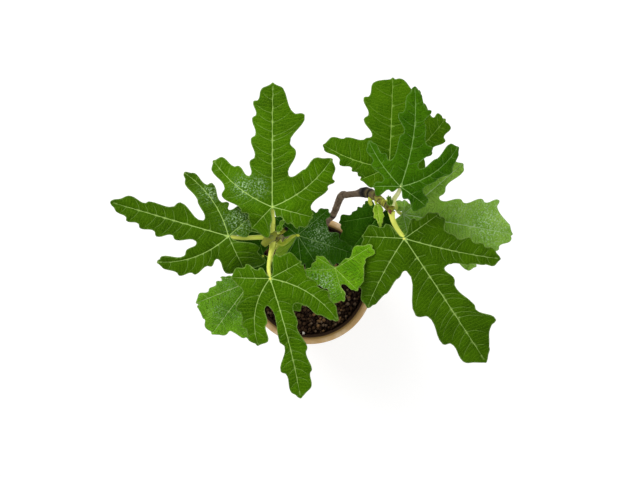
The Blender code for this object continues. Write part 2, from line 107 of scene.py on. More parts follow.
LEAVES = {
    "leaf_top_left": planned((-34, 78, 440), 7, "left", 0.99, 80, 2.1, "deep",
        (226, 28, 8, (23, 9, 17, 9), (20, 20, 11), (0.2, 1)), (187, 29),
        (142, 71, 16, (66, 43, 8, 21), (66, 47, 8, 11), (1, 0.6), 0.07), (125, 36),
        (90, 117, 18, (110, 41, 11, 18, 19, 20, 21), (111, 49, 10, 30, 22)), (60, 33),
        (39, 72, 14, (58, 42, 11, 9), (67, 50, 10, 18, 20), (0.4, 1), -0.08), (0, 36),
        (346, 39, 8, (38, 38, 4), (34, 6, 11, 14, 12, 8)), (277, 1.5)),
    "leaf_left": planned((-75, 51, 430), 6, "left", 0.98, 178, 2.1, "darker",
        (294, 37, 14, (36, 21, 21, 22), (30, 30, 17)), (246, 24),
        (200, 73, 16, (67, 24, 9, 19, 23, 21), (66, 39, 4, 2), (0.6, 1), 0.1), (191, 31),
        (164, 118, 20, (107, 46, 8, 13, 16, 19, 17), (99, 52, 11, 11, 18), (1, 0.7)), (145, 28),
        (125, 74, 16, (62, 40, 6, 6), (66, 25, 8, 16, 18), (0.4, 1), -0.09), (87, 25),
        (42, 33, 14, (26, 26, 15), (28, 12, 20, 12)), (357, 1.5)),
    "leaf_bottom": planned((-36, 12, 440), 6, "left", 0.96, 266, 2.2, "deep",
        (28, 33, 12, (27, 15, 13, 18), (32, 32, 7)), (7, 34),
        (328, 75, 18, (64, 38, 11, 18, 20), (66, 38, 4, 6, 5), (0.8, 0.4), 0.1), (313, 33),
        (284, 117, 22, (107, 44, 13, 17, 18, 15), (107, 57, 8, 12, 6), (0.5, 0.8), 0.02), (265, 26),
        (259, 65, 18, (58, 40, 9, 5), (60, 35, 10, 17, 26), (0.5, 1), -0.12), (204, 28),
        (179, 37, 12, (29, 29, 8), (32, 8, 9, 13, 10)), (92, 1.5)),
    "leaf_low_left": planned((-57, 7, 355), 6, "left", 0.6, 230, 1.8, "bluish",
        (266, 59, 12, (48, 23, 13, 15), (57, 57, 8), (0.5, 1)), (248, 55),
        (233, 68, 16, (59, 59, 12), (65, 60, 11, 17)), (211, 61),
        (202, 61, 14, (61, 61, 6), (54, 42, 8, 9)), (184, 36),
        (175, 32, 10, (30, 30, 2), (21, 7, 3, 12)), (55, 1.5)),
    "leaf_centre": planned((-11, 52, 399), 3, "left", 0.88, 310, 1.9, "shiny",
        (142, 28, 5, (22, 9, 12, 9), (22, 22, 7)), (111, 19),
        (76, 23, 4, (12, 12, 5), (27, 27, 7)), (54, 28),
        (40, 39, 14, (33, 33, 6), (36, 29, 6, 8)), (10, 30),
        (342, 58, 34, (51, 37, 8, 14), (56, 52, 9, 14)), (322, 46),
        (303, 40, 13, (36, 36, 11), (34, 34, 7)), (286, 35),
        (277, 32, 12, (28, 28, 3), (29, 29, 3)), (258, 26),
        (244, 27, 4, (22, 22, 6), (18, 18, 2)), (190, 1.5)),
    "leaf_under_left": planned((-44, 32, 395), 3, "left", 0.8, 235, 1.7, "shade",
        (300, 24, 6, (18, 18, 6), (18, 18, 6)), (275, 20),
        (250, 31, 8, (25, 25, 7), (25, 25, 7)), (226, 24),
        (203, 38, 9, (31, 22, 6, 7), (31, 31, 8)), (177, 26),
        (151, 47, 8, (39, 25, 7, 8), (39, 25, 7, 8)), (126, 26),
        (103, 34, 5, (27, 27, 8), (22, 8, 8, 7)), (57, 1.5)),
    "leaf_top_right": planned((83, 96, 460), 6, "right", 0.98, 75, 2.1, "dusky",
        (179, 25, 8, (21, 7, 9, 5), (22, 22, 4)), (160, 17),
        (124, 51, 12, (44, 31, 7, 11), (44, 32, 4, 6), (1, 1), 0.05), (110, 26),
        (81, 94, 16, (81, 43, 7, 12, 8), (84, 39, 8, 18, 15, 24), (1, 1), -0.05), (45, 24),
        (34, 66, 16, (61, 37, 7, 3), (60, 28, 7, 16, 14), (0.3, 0.3), -0.1), (351, 21),
        (324, 30, 10, (28, 28, 6), (23, 8, 11, 7.5)), (250, 1.5)),
    "leaf_back_right": planned((75, 115, 422), 6, "right", 0.79, 60, 2.0, "fresh",
        (202, 29, 8, (22, 12, 11, 13), (29, 29, 7)), (182, 35),
        (160, 66, 14, (62, 44, 5, 13), (60, 28, 10, 14, 20), (1, 0.5), 0.06), (121, 34),
        (87, 87, 16, (80, 44, 19, 27, 26), (85, 62, 11, 26, 32)), (50, 64),
        (41, 72, 14, (70, 70, 9), (70, 38, 10, 16, 17), (1, 1), -0.06), (13, 34),
        (344, 39, 8, (35, 35, 6), (27, 27, 13)), (272, 1.5)),
    "leaf_bottom_right": planned((89, 49, 427), 5, "right", 0.99, 281, 2.3, "darker",
        (35, 41, 8, (32, 17, 7, 11), (42, 42, 8)), (13, 39),
        (348, 94, 14, (83, 45, 9, 11, 14, 13), (88, 46, 8, 9, 12, 15), (1, 0.3), -0.02), (325, 47),
        (304, 143, 26, (131, 56, 11, 30, 20, 18), (129, 67, 18, 25, 31), (0.6, 1)), (272, 31),
        (244, 75, 45, (66, 34, 6, 10, 13), (69, 60, 10, 18), (0.3, 1), -0.03), (211, 44),
        (177, 39, 26, (38, 38, 12), (32, 17, 11, 13)), (117, 1.5)),
    "leaf_right": planned((90, 72, 400), 6, "right", 0.89, 20, 1.9, "pale",
        (86, 14, 2, (12, 5, 8, 11), (8, 8, 7)), (42, 20),
        (40, 77, 16, (70, 34, 8, 13), (72, 42, 6, 10), (0.6, 0.5)), (23, 38),
        (350, 109, 18, (102, 50, 10, 30, 28, 24), (107, 83, 8, 18, 28), (0.9, 1)), (327, 73),
        (325, 88, 18, (86, 86, 7), (83, 56, 8, 10), (1, 0.5)), (302, 41),
        (282, 37, 12, (33, 33, 8), (23, 6, 14, 12), (1, 0.4)), (150, 1.5)),
    "leaf_under_right": planned((67, 71, 397), 4, "right", 0.76, 250, 1.8, "shade",
        (279, 34, 8, (24, -5, 18, 13, 11), (32, 32, 10), (0.3, 1)), (250, 35),
        (231, 41, 8, (37, 37, 8), (40, 40, 8)), (211, 43),
        (190, 39, 8, (37, 37, 8), (35, 24, 7, 8)), (162, 22),
        (134, 19, 6, (17, 17, 6), (14, 7, 5, 5)), (88, 1.5)),
    "leaf_curled": planned((25, 20, 393), 3, "left", 0.66, 330, 1.7, "young",
        (33, 41, -24, (26, 12, 8, 3), (39, 26, 8, 11)), (2, 27),
        (316, 30, -8, (26, 26, 12), (24, 24, 4)), (294, 17),
        (285, 33, 4, (25, 25, 3), (31, 14, 12, 17)), (204, 26),
        (184, 32, 0, (28, 28, 5), (25, 25, 2)), (173, 23),
        (148, 22, -8, (20, 20, 3), (16, 16, 4)), (90, 1.5)),
    "leaf_low_small": planned((-24, -6, 300), 2, "left", 0.35, 260, 1.4, "fresh",
        (305, 25, 4, (19, 8, 7, 9), (19, 8, 7, 9)), (110, 2)),
    "leaf_young_left": planned((-31, 34, 381), 1, "left", 0.84, 275, 1.2, "tender_painted_light",
        (38, 27, -3, (21, 7, 5, 7, 5), (21, 7, 5, 7, 6), (0.6, 0.6)), (218, 2)),
    "leaf_young_right": planned((65, 80, 405), 1, "right", 0.8, 270, 1.2, "budding",
        (277, 21, -5, (15, 5, 3, 5, 5), (15, 5, 2, 5, 5), (0.6, 0.6)), (97, 2)),
}

# Leaflets just out of the buds, too small for the part, and the number that seeds the first
FIRST_BUD_NUMBER = 51
BUD_LEAVES = {
    "bud_leaf_left": planned((-29, 56, 425), 0.6, "left", 0.93, 40, 0.8, "young",
        (64, 12, -3, (9, 4, 2, 3), (9, 4, 2, 3)), (244, 1)),
    "bud_leaf_right": planned((75, 80, 442), 0.6, "right", 0.99, 100, 0.8, "fresh",
        (104, 9, -2, (7, 3, 2, 3), (7, 3, 2, 3)), (284, 1)),
}

# ---- finer shape of a blade, in mm
EDGE_STEPS = 6
GRID = 1.5
GRID_JITTER = 0.25
BLADE_THICKNESS = 0.5
VEIN_CLEAR = 0.75
WIDTHS_CLEAR = 1.4
EDGE_CLEAR = 0.6
# Leaves whose lobes are all shorter have narrower veins and lower relief, by these shares
SMALL_LEAF = 45
SMALL_SHARES = (0.55, 0.5)
# Spots whose distances are worked out at one time
BLOCK = 2000
MIDRIB_REACH = 0.97
MIDRIB_STEPS = 26
RIB_FADE = 6.0
MIDRIB_WIDTH = 0.62
MIDRIB_TIP_WIDTH = 0.18
SIDE_WIDTH = 0.24
SIDE_TIP_WIDTH = 0.16
SIDE_STEPS = 12
SIDE_LEAN = 0.62
SIDE_SQUARE = 0.62
SIDE_FORWARD = 0.16
SIDE_SPACING = 10.0
SIDE_SHORTEST = 4.0
SIDE_FIRST = 6.0
SIDE_STRENGTH = 0.46
SIDE_FADE = 2.2
SIDE_INSET = 0.86
SIDE_LAST = 1.6
SIDE_GROWTH = 2
SIDE_FEWEST = 4
LONE_LEAD = 9.0
VEINLET_LEAN = 0.22
VEINLET_SPACING = 3.2
VEINLET_SWAY = 2.4
NET_SCALE = 560
PUCKER_RISE = 0.75
PUCKER_WIDTH = 2.2
GROOVE = 0.30
RIPPLE = 0.9
RIPPLE_LENGTH = 26.0
RIPPLE_FROM = 6.0
FRILL = 0.9
FRILL_LENGTH = 15.0
FRILL_WIDTH = 7.0


def srgb(red, green, blue):
    """Linear colour from the 0 to 255 values a picture shows."""
    share = [value / 255 for value in (red, green, blue)]
    return tuple(v / 12.92 if v <= 0.04045 else ((v + 0.055) / 1.055) ** 2.4 for v in share)


# Dark and bright lamina, fine net, vein, underside and stalk; roughness, specular level, puckers' depth in m
Look = namedtuple("Look", "dark bright net vein under stalk rough gloss pucker")
LOOKS = {name: Look(*(srgb(*colour) for colour in row[:6]), *row[6:]) for name, row in {
    "deep": ((44, 80, 0), (68, 114, 0), (112, 152, 24), (176, 208, 112),
        (112, 140, 82), (236, 240, 112), 0.46, 0.02, 0.0003),
    "darker": ((38, 70, 0), (60, 98, 0), (96, 134, 20), (170, 202, 108),
        (112, 140, 82), (236, 240, 112), 0.46, 0.02, 0.0003),
    "fresh": ((44, 86, 0), (68, 110, 0), (108, 146, 24), (158, 192, 88),
        (118, 146, 84), (214, 222, 94), 0.46, 0.02, 0.0004),
    # Its stalk colour is paler than the stalk's own: painted light for a stalk in its blade's shade
    "dusky": ((32, 78, 0), (64, 112, 3), (86, 128, 20), (142, 180, 96),
        (112, 140, 82), (244, 244, 180), 0.46, 0.02, 0.0007),
    "shiny": ((30, 76, 0), (50, 100, 0), (80, 128, 18), (134, 172, 98),
        (104, 134, 78), (220, 228, 84), 0.46, 0.02, 0.0006),
    # Darker copy of the greens: painted shade for the leaves that lie under others
    "shade": ((24, 62, 0), (44, 88, 3), (70, 112, 18), (104, 146, 60),
        (90, 120, 66), (206, 214, 84), 0.46, 0.02, 0.0004),
    "bluish": ((58, 116, 0), (116, 176, 22), (158, 206, 76), (210, 234, 160),
        (120, 150, 92), (200, 212, 96), 0.40, 0.03, 0.0008),
    "pale": ((98, 150, 18), (146, 190, 70), (162, 202, 98), (184, 212, 152),
        (130, 160, 104), (214, 222, 104), 0.42, 0.05, 0.0007),
    "young": ((72, 136, 0), (118, 176, 14), (146, 196, 44), (194, 222, 116),
        (140, 170, 100), (206, 216, 96), 0.36, 0.05, 0.0010),
    # The budding greens made paler: painted light for a young leaf that lies in shade
    "tender_painted_light": ((150, 196, 40), (196, 224, 90), (206, 230, 110), (226, 236, 140),
        (160, 180, 96), (224, 230, 100), 0.42, 0.04, 0.0003),
    "budding": ((104, 152, 14), (152, 190, 48), (170, 204, 70), (210, 222, 112),
        (160, 180, 96), (214, 222, 90), 0.42, 0.04, 0.0003),
}.items()}
NET_SHARE = 0.34
VEINLET_SHARE = 0.50
MARGIN_VEIN = 0.30
MARGIN_WIDTH = 0.45
# Colour of the painted sheen, a whitish highlight painted on the blades
PAINTED_SHEEN = srgb(190, 222, 172)

# Painted sheen on the blades, a whitish highlight standing in for light off their puckers: x and y from the leaf's
# base, and reach, in mm, and strength
PAINTED_SHEENS = {
    "leaf_top_left": [(-27, 19, 8, 0.8), (-14, 18, 8, 0.6)],
    "leaf_left": [(10, 16, 12, 0.7), (-18, 41, 8, 0.6)],
    "leaf_low_left": [(-24, -8, 8, 0.35), (-34, -30, 8, 0.4), (-12, -34, 7, 0.3)],
    "leaf_centre": [(21, -1, 12, 0.9)],
    "leaf_right": [(84, -8, 24, 0.65), (58, 6, 14, 0.35), (6, 0, 12, 0.3)],
    "leaf_curled": [(-12, -14, 12, 1.0)],
}


# ---- general helpers
def smooth_line(points, steps):
    """Catmull-Rom curve through the points, with the given steps a span."""
    points = [Vector(p) for p in points]
    points = [2 * points[0] - points[1], *points, 2 * points[-1] - points[-2]]
    line = []
    for a, b, c, d in zip(points, points[1:], points[2:], points[3:]):
        for k in range(steps):
            t = k / steps
            line.append(0.5 * (2 * b + (c - a) * t + (2 * a - 5 * b + 4 * c - d) * t**2
                               + (3 * b - a - 3 * c + d) * t**3))
    return [*line, points[-2].copy()]


def stem_course(line, radii, steps):
    return smooth_line(line, steps), [size.x for size in smooth_line([(r, 0, 0) for r in radii], steps)]


def left_of(run):
    return Vector((-run.y, run.x))


def turned(angle):
    return Vector((math.cos(angle), math.sin(angle), 0))


def direction(heading):
    return turned(math.radians(heading)).to_2d()


def axes(heading):
    """Unit vectors along a heading and to its left."""
    return direction(heading), left_of(direction(heading))


def on_limb(limb, share):
    """Point, direction and radius of a limb's centre line at a share of its spans."""
    line, radii, first = STEMS[limb]
    points, sizes = stem_course(line, radii, LINE_STEPS)
    place = (first + (len(line) - 1 - first) * share) * LINE_STEPS
    index = min(int(place), len(points) - 2)
    step = points[index + 1] - points[index]
    return points[index] + step * (place - index), step.normalized(), sizes[index]


def new_object(name, data):
    made = bpy.data.objects.new(name, data)
    bpy.context.scene.collection.objects.link(made)
    return made


def add_piece(name, mesh, slot, *nodes):
    """The mesh as a piece that rides on the part's one body, in place of the nodes it stands for."""
    piece = new_object(name, mesh)
    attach(piece, "root")
    if nodes:
        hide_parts(*nodes)
    return piece


def new_mesh(name, make, *materials):
    """A smooth mesh that make fills."""
    mesh = bpy.data.meshes.new(name)
    make(mesh)
    for made in materials:
        mesh.materials.append(made)
    mesh.shade_smooth()
    return mesh


def mesh_from(name, points, faces, *materials):
    return new_mesh(name, lambda mesh: mesh.from_pydata([tuple(p) for p in points], [], faces), *materials)


def modified(piece):
    """The piece's mesh as its modifiers leave it."""
    bpy.context.view_layer.update()
    return bpy.data.meshes.new_from_object(piece.evaluated_get(bpy.context.evaluated_depsgraph_get()))


def set_attribute(mesh, name, values):
    data = mesh.attributes.new(name, "FLOAT", "POINT").data
    data.foreach_set("value", np.asarray(values, dtype=np.float32))


# ---- node material helpers
class Shader:
    """A material's node tree with short ways to add and join nodes."""

    def __init__(self, name):
        self.material = bpy.data.materials.new(name)
        self.material.use_nodes = True
        self.tree = self.material.node_tree
        self.coordinates = self.add("ShaderNodeTexCoord", {}).outputs["Object"]

    def feed(self, socket, source):
        """Set a socket to a number or colour, or join another node's output to it."""
        if isinstance(source, (int, float, tuple)):
            socket.default_value = (*source, 1) if socket.type == "RGBA" else source
        else:
            self.tree.links.new(source, socket)

    def add(self, kind, inputs, **settings):
        node = self.tree.nodes.new(kind)
        for key, value in settings.items():
            setattr(node, key, value)
        for key, source in inputs.items():
            self.feed(node.inputs[key], source)
        return node

    def noise(self, scale, detail=3.0, rough=0.5, vector=None):
        return self.add("ShaderNodeTexNoise", {
            "Scale": scale, "Detail": detail, "Roughness": rough, "Vector": vector or self.coordinates,
        }).outputs["Fac"]

    def cells(self, scale, feature="F1"):
        inputs = {"Scale": scale, "Vector": self.coordinates}
        return self.add("ShaderNodeTexVoronoi", inputs, feature=feature).outputs["Distance"]

    def attribute(self, name):
        return self.add("ShaderNodeAttribute", {}, attribute_name=name).outputs["Fac"]

    def ramp(self, factor, *stops):
        """A factor turned to a colour or a grey by (place, colour or number) stops."""
        node = self.add("ShaderNodeValToRGB", {"Fac": factor})
        points = node.color_ramp.elements
        while len(points) < len(stops):
            points.new(0.5)
        for point, (place, value) in zip(points, stops):
            point.position = place
            point.color = (*(value if isinstance(value, tuple) else (value,) * 3), 1)
        return node.outputs["Color"]

    def mix(self, factor, first, second):
        node = self.add("ShaderNodeMix", {}, data_type="RGBA")
        self.feed(node.inputs["Factor"], factor)
        sockets = [socket for socket in node.inputs if socket.type == "RGBA"]
        for socket, source in zip(sockets, (first, second)):
            self.feed(socket, source)
        return next(socket for socket in node.outputs if socket.type == "RGBA")

    def maths(self, operation, first, second):
        return self.add("ShaderNodeMath", {0: first, 1: second}, operation=operation).outputs["Value"]

    def bump(self, height, depth, below=None):
        joined = {"Normal": below} if below else {}
        return self.add("ShaderNodeBump", {"Distance": depth, "Height": height, **joined}).outputs["Normal"]

    def finish(self, colour, rough, normal=None, specular=0.5, **others):
        inputs = {"Base Color": colour, "Roughness": rough, "Specular IOR Level": specular, **others}
        if normal:
            inputs["Normal"] = normal
        for key, source in inputs.items():
            self.feed(self.tree.nodes["Principled BSDF"].inputs[key], source)
        return self.material


# ---- leaf materials
def lamina_material(name, look):
    """Upper face: mottled green with pale veins, puckers between the veinlets and patches of painted sheen, a
    whitish highlight with glints.
    """
    shader = Shader(name)
    colour = shader.ramp(shader.noise(38, 4, 0.55), (0.30, look.dark), (0.70, look.bright))
    net = shader.cells(NET_SCALE, "DISTANCE_TO_EDGE")
    colour = shader.mix(shader.ramp(net, (0.0, NET_SHARE), (0.12, 0.0)), colour, look.net)
    sway = shader.maths("MULTIPLY", shader.noise(160, 2), VEINLET_SWAY)
    course = shader.maths("ADD", shader.attribute("course"), sway)
    between = shader.maths("PINGPONG", course, VEINLET_SPACING / 2)
    kept = shader.attribute("veinlet")
    line = shader.maths("MULTIPLY", shader.ramp(between, (0.04, VEINLET_SHARE), (0.26, 0.0)), kept)
    colour = shader.mix(line, colour, look.net)
    # Painted highlight: fine whitish glints inside the painted sheen patches
    painted_glints = shader.ramp(shader.noise(640, 4, 0.6), (0.51, 0.02), (0.60, 1.0))
    colour = shader.mix(shader.maths("MULTIPLY", shader.attribute("painted_sheen"), painted_glints), colour, PAINTED_SHEEN)
    vein = shader.ramp(shader.attribute("vein"), (0.05, 0.0), (0.75, 1.0))
    colour = shader.mix(vein, colour, look.vein)
    rough = shader.ramp(shader.noise(90, 3), (0.3, look.rough - 0.07), (0.7, look.rough + 0.09))
    swell = shader.maths("MULTIPLY", shader.ramp(between, (0.0, 0.0), (1.0, 1.0)), kept)
    relief = shader.bump(swell, look.pucker)
    relief = shader.bump(shader.ramp(net, (0.0, 0.0), (0.25, 1.0)), look.pucker / 2, relief)
    return shader.finish(colour, rough, relief, look.gloss)


def underside_material(name, look):
    """Lower face: paler and matt, with the same veins standing out."""
    shader = Shader(name)
    deep = tuple(v * 0.8 for v in look.under)
    colour = shader.ramp(shader.noise(60, 3), (0.3, deep), (0.7, look.under))
    net = shader.cells(NET_SCALE, "DISTANCE_TO_EDGE")
    colour = shader.mix(shader.ramp(net, (0.0, 0.5), (0.12, 0.0)), colour, look.vein)
    vein = shader.ramp(shader.attribute("vein"), (0.0, 0.0), (0.5, 1.0))
    colour = shader.mix(vein, colour, look.vein)
    relief = shader.bump(shader.ramp(net, (0.0, 1.0), (0.2, 0.0)), 0.0002)
    return shader.finish(colour, 0.72, relief, 0.12)


def stalk_material(name, look):
    """Leaf stalk: pale yellow-green, streaked, with tiny lighter specks."""
    shader = Shader(name)
    deep = tuple(v * f for v, f in zip(look.stalk, (0.86, 0.92, 0.68)))
    colour = shader.ramp(shader.noise(140, 3), (0.32, deep), (0.66, look.stalk))
    specks = shader.ramp(shader.cells(900), (0.0, 0.4), (0.18, 0.0))
    colour = shader.mix(specks, colour, srgb(226, 230, 150))
    return shader.finish(colour, 0.45, shader.bump(shader.noise(700, 3), 0.0001), 0.2)


# ---- leaf shape
def tooth_spots(teeth):
    """(along, reach) of every tooth on one side of a lobe, from its tip inwards."""
    outer, inner, *reaches = teeth
    spans = max(len(reaches) - 1, 1)
    shares = [(k / spans) ** TOOTH_CROWDING for k in range(len(reaches))]
    return [(outer + (inner - outer) * share, reach) for share, reach in zip(shares, reaches)]


def side_points(lobe, teeth, side, cut):
    """Tooth tips and the notches before them down one side of a lobe, from its tip inwards."""
    tips = [Vector((lobe.length, 0)), *map(Vector, tooth_spots(teeth))]
    points = [Vector((lobe.length - TIP_ROUND, min(TIP_WIDTH, TIP_WIDTH_SHARE * teeth[2])))]
    for k, (before, tooth) in enumerate(zip(tips, tips[1:])):
        run = tooth - before
        for share, depth in (NOTCH, SHOULDER) if k else (TIP_NOTCH, TIP_SHOULDER):
            points.append(before + run * share + left_of(run) * depth * (cut if k else 1))
        points.append(tooth)
    ahead, left = axes(lobe.heading)
    return [ahead * point.x + left * side * point.y for point in points]


def smooth_edge(points, steps):
    """Closed curve through the points; its slope at each is midway between the two runs that meet there."""
    count = len(points)
    runs = [points[(i + 1) % count] - points[i] for i in range(count)]
    slopes = [(runs[i - 1].normalized() + runs[i].normalized()).normalized() for i in range(count)]
    line = []
    for i, run in enumerate(runs):
        start, end = slopes[i] * run.length, slopes[(i + 1) % count] * run.length
        for k in range(steps):
            t = k / steps
            line.append(points[i] + run * (3 * t**2 - 2 * t**3) + start * (t**3 - 2 * t**2 + t)
                        + end * (t**3 - t**2))
    return line


def outline(leaf):
    """The leaf's edge in plan, clockwise, relative to its base."""
    points = []
    for item in leaf.edge:
        ahead, left = axes(item.heading)
        if isinstance(item, Sinus):
            across = left * min(SINUS_ROUND, SINUS_ROUND_SHARE * item.reach)
            points += [ahead * item.reach + across, ahead * item.reach - across]
            continue
        points += reversed(side_points(item, item.left, 1, item.cut[0]))
        points.append(ahead * item.length)
        points += side_points(item, item.right, -1, item.cut[1])
    return np.array(smooth_edge(points, EDGE_STEPS))


def lobes_of(leaf):
    return [item for item in leaf.edge if isinstance(item, Lobe)]


def midrib(lobe):
    """Points of a lobe's main vein, which bows by the lobe's bend."""
    ahead, left = axes(lobe.heading)
    shares = [k / MIDRIB_STEPS for k in range(MIDRIB_STEPS + 1)]
    return [(ahead * t * MIDRIB_REACH + left * (4 * lobe.bend * t * (1 - t))) * lobe.length for t in shares]


def inside(edge, spots):
    """Which spots lie inside the closed edge, by the even-odd rule."""
    x, y = spots[:, 0:1], spots[:, 1:2]
    start, end = edge, np.roll(edge, -1, axis=0)
    spans = (start[:, 1] > y) != (end[:, 1] > y)
    rise = np.where(end[:, 1] == start[:, 1], 1e-9, end[:, 1] - start[:, 1])
    cross_x = start[:, 0] + (y - start[:, 1]) * (end[:, 0] - start[:, 0]) / rise
    return (spans & (x < cross_x)).sum(axis=1) % 2 == 1


def distances(spots, lines):
    """Each spot's distance to the nearest line, its least share of a half-width, and where that is."""
    starts = np.array([p for line, _ in lines for p in line[:-1]])
    run = np.array([p for line, _ in lines for p in line[1:]]) - starts
    widths = np.array([w for _, sizes in lines for w in sizes[:-1]])
    length = np.maximum((run**2).sum(axis=1), 1e-9)
    found = []
    for first in range(0, len(spots), BLOCK):
        block = spots[first:first + BLOCK, None, :]
        share = np.clip(((block - starts) * run).sum(axis=2) / length, 0, 1)
        gap = np.linalg.norm(block - starts - share[:, :, None] * run, axis=2)
        ratio = gap / widths
        found.append((gap.min(axis=1), ratio.min(axis=1), ratio.argmin(axis=1)))
    return [np.concatenate(parts) for parts in zip(*found)]


def side_vein_ends(teeth):
    """Where side veins end on one side of a lobe: at the teeth, between them, and on towards the base."""
    marks = tooth_spots(teeth)
    ends = []
    for (along, reach), (next_along, next_reach) in zip(marks, marks[1:]):
        count = max(round((along - next_along) / SIDE_SPACING), 1)
        for k in range(count):
            t = k / count
            inset = SIDE_INSET if k else 1.0
            ends.append((along + (next_along - along) * t, (reach + (next_reach - reach) * t) * inset))
    along, reach = marks[-1]
    ends.append((along, reach))
    while along > SIDE_LAST * SIDE_SPACING:
        along -= SIDE_SPACING
        reach += SIDE_GROWTH
        ends.append((along, reach))
    return [end for end in ends if end[1] > SIDE_SHORTEST]


def side_veins(leaf, edge):
    """Side veins of every lobe: they leave the midrib almost square to it and curve towards the tip.

    Each stops at the margin or where another lobe's midrib is nearer.
    """
    lobes = lobes_of(leaf)
    ribs = [np.array(midrib(lobe)) for lobe in lobes]
    steps = np.arange(SIDE_STEPS + 1) / SIDE_STEPS
    veins = []
    for own, lobe in enumerate(lobes):
        ahead, left = axes(lobe.heading)
        ends = [(*end, left) for end in side_vein_ends(lobe.left)]
        ends += [(*end, -left) for end in side_vein_ends(lobe.right)]
        for along, reach, across in ends:
            start_along = along - SIDE_LEAN * reach
            if start_along < SIDE_FIRST:
                continue
            index = min(start_along / lobe.length / MIDRIB_REACH * MIDRIB_STEPS, MIDRIB_STEPS)
            start = Vector(ribs[own][int(index)])
            end = ahead * along + across * reach
            corner = start + across * (SIDE_SQUARE * reach) + ahead * (SIDE_FORWARD * reach)
            path = np.array([start * (1 - t) ** 2 + corner * (2 * t * (1 - t)) + end * t**2 for t in steps])
            nearest = [distances(path, [(rib, [1.0] * len(rib))])[0] for rib in ribs]
            fits = inside(edge, path) & (np.argmin(nearest, axis=0) == own)
            fits[0] = True
            count = len(fits) if fits.all() else int(np.argmin(fits))
            if count > SIDE_FEWEST:
                veins.append([Vector(p) for p in path[:count]])
    return veins


def along_midribs(spots, ribs):
    """How far each spot lies along and from its nearest midrib, and how much further the next one is."""
    away, along = [], []
    rows = np.arange(len(spots))
    for rib in map(np.array, ribs):
        run = rib[1:] - rib[:-1]
        lengths = np.linalg.norm(run, axis=1)
        passed = np.concatenate([[0], np.cumsum(lengths)[:-1]])
        toward = spots[:, None, :] - rib[:-1]
        share = np.clip((toward * run).sum(axis=2) / lengths**2, 0, 1)
        gaps = np.linalg.norm(toward - share[:, :, None] * run, axis=2)
        best = gaps.argmin(axis=1)
        away.append(gaps[rows, best])
        along.append(passed[best] + share[rows, best] * lengths[best])
    ranked = np.sort(away, axis=0)
    lead = ranked[1] - ranked[0] if len(ribs) > 1 else np.full(len(spots), LONE_LEAD)
    return np.array(along)[np.argmin(away, axis=0), rows], ranked[0], lead


def tapered(line, start, end):
    """The line with a half-width for each of its points."""
    last = len(line) - 1
    return line, [start + (end - start) * k / last for k in range(last + 1)]


def rest_height(leaf, spots):
    """How high the blade stands over the leaf's base, before folds and puckers."""
    lobes = lobes_of(leaf)
    bearing = np.degrees(np.arctan2(spots[:, 1], spots[:, 0]))
    turn = (bearing[:, None] - np.array([lobe.heading for lobe in lobes])) % 360
    before, after = turn.argmin(axis=1), turn.argmax(axis=1)
    behind, ahead = turn.min(axis=1), 360 - turn.max(axis=1)
    share = behind / np.maximum(behind + ahead, 1e-6)
    share = share * share * (3 - 2 * share)
    lengths = np.array([lobe.length for lobe in lobes])
    slopes = np.array([lobe.drop for lobe in lobes]) / lengths
    slope, length = (v[before] * (1 - share) + v[after] * share for v in (slopes, lengths))
    reach = np.hypot(spots[:, 0], spots[:, 1])
    part = reach / length
    return -slope * reach + 4 * leaf.arch * part * (1 - part)


def grid_spots(edge, rng):
    """A slightly shaken triangular grid over the outline."""
    low, high = edge.min(axis=0), edge.max(axis=0)
    rows = []
    row_step = GRID * math.sqrt(3) / 2
    for row in range(int((high[1] - low[1]) / row_step) + 1):
        xs = np.arange(low[0] + GRID / 2 * (row % 2), high[0], GRID)
        rows.append(np.column_stack([xs, np.full(len(xs), low[1] + row * row_step)]))
    spots = np.concatenate(rows)
    spots += rng.uniform(-GRID_JITTER, GRID_JITTER, spots.shape)
    return spots[inside(edge, spots)]


def side_lines(line, sizes):
    """The two edges of a vein, left and right of its centre line."""
    across = [left_of((line[k + 1] - line[k - 1]).normalized()) * sizes[k] for k in range(1, len(line) - 1)]
    return [[p + v for p, v in zip(line[1:], across)], [p - v for p, v in zip(line[1:], across)]]


def painted_sheen_at(sheen_spots, spots):
    """How strong the painted sheen is at each spot of a blade."""
    strength = np.zeros(len(spots))
    for x, y, reach, peak in sheen_spots:
        away = np.hypot(spots[:, 0] - x, spots[:, 1] - y)
        strength = np.maximum(strength, peak * np.exp(-(away / reach) ** 2))
    return strength


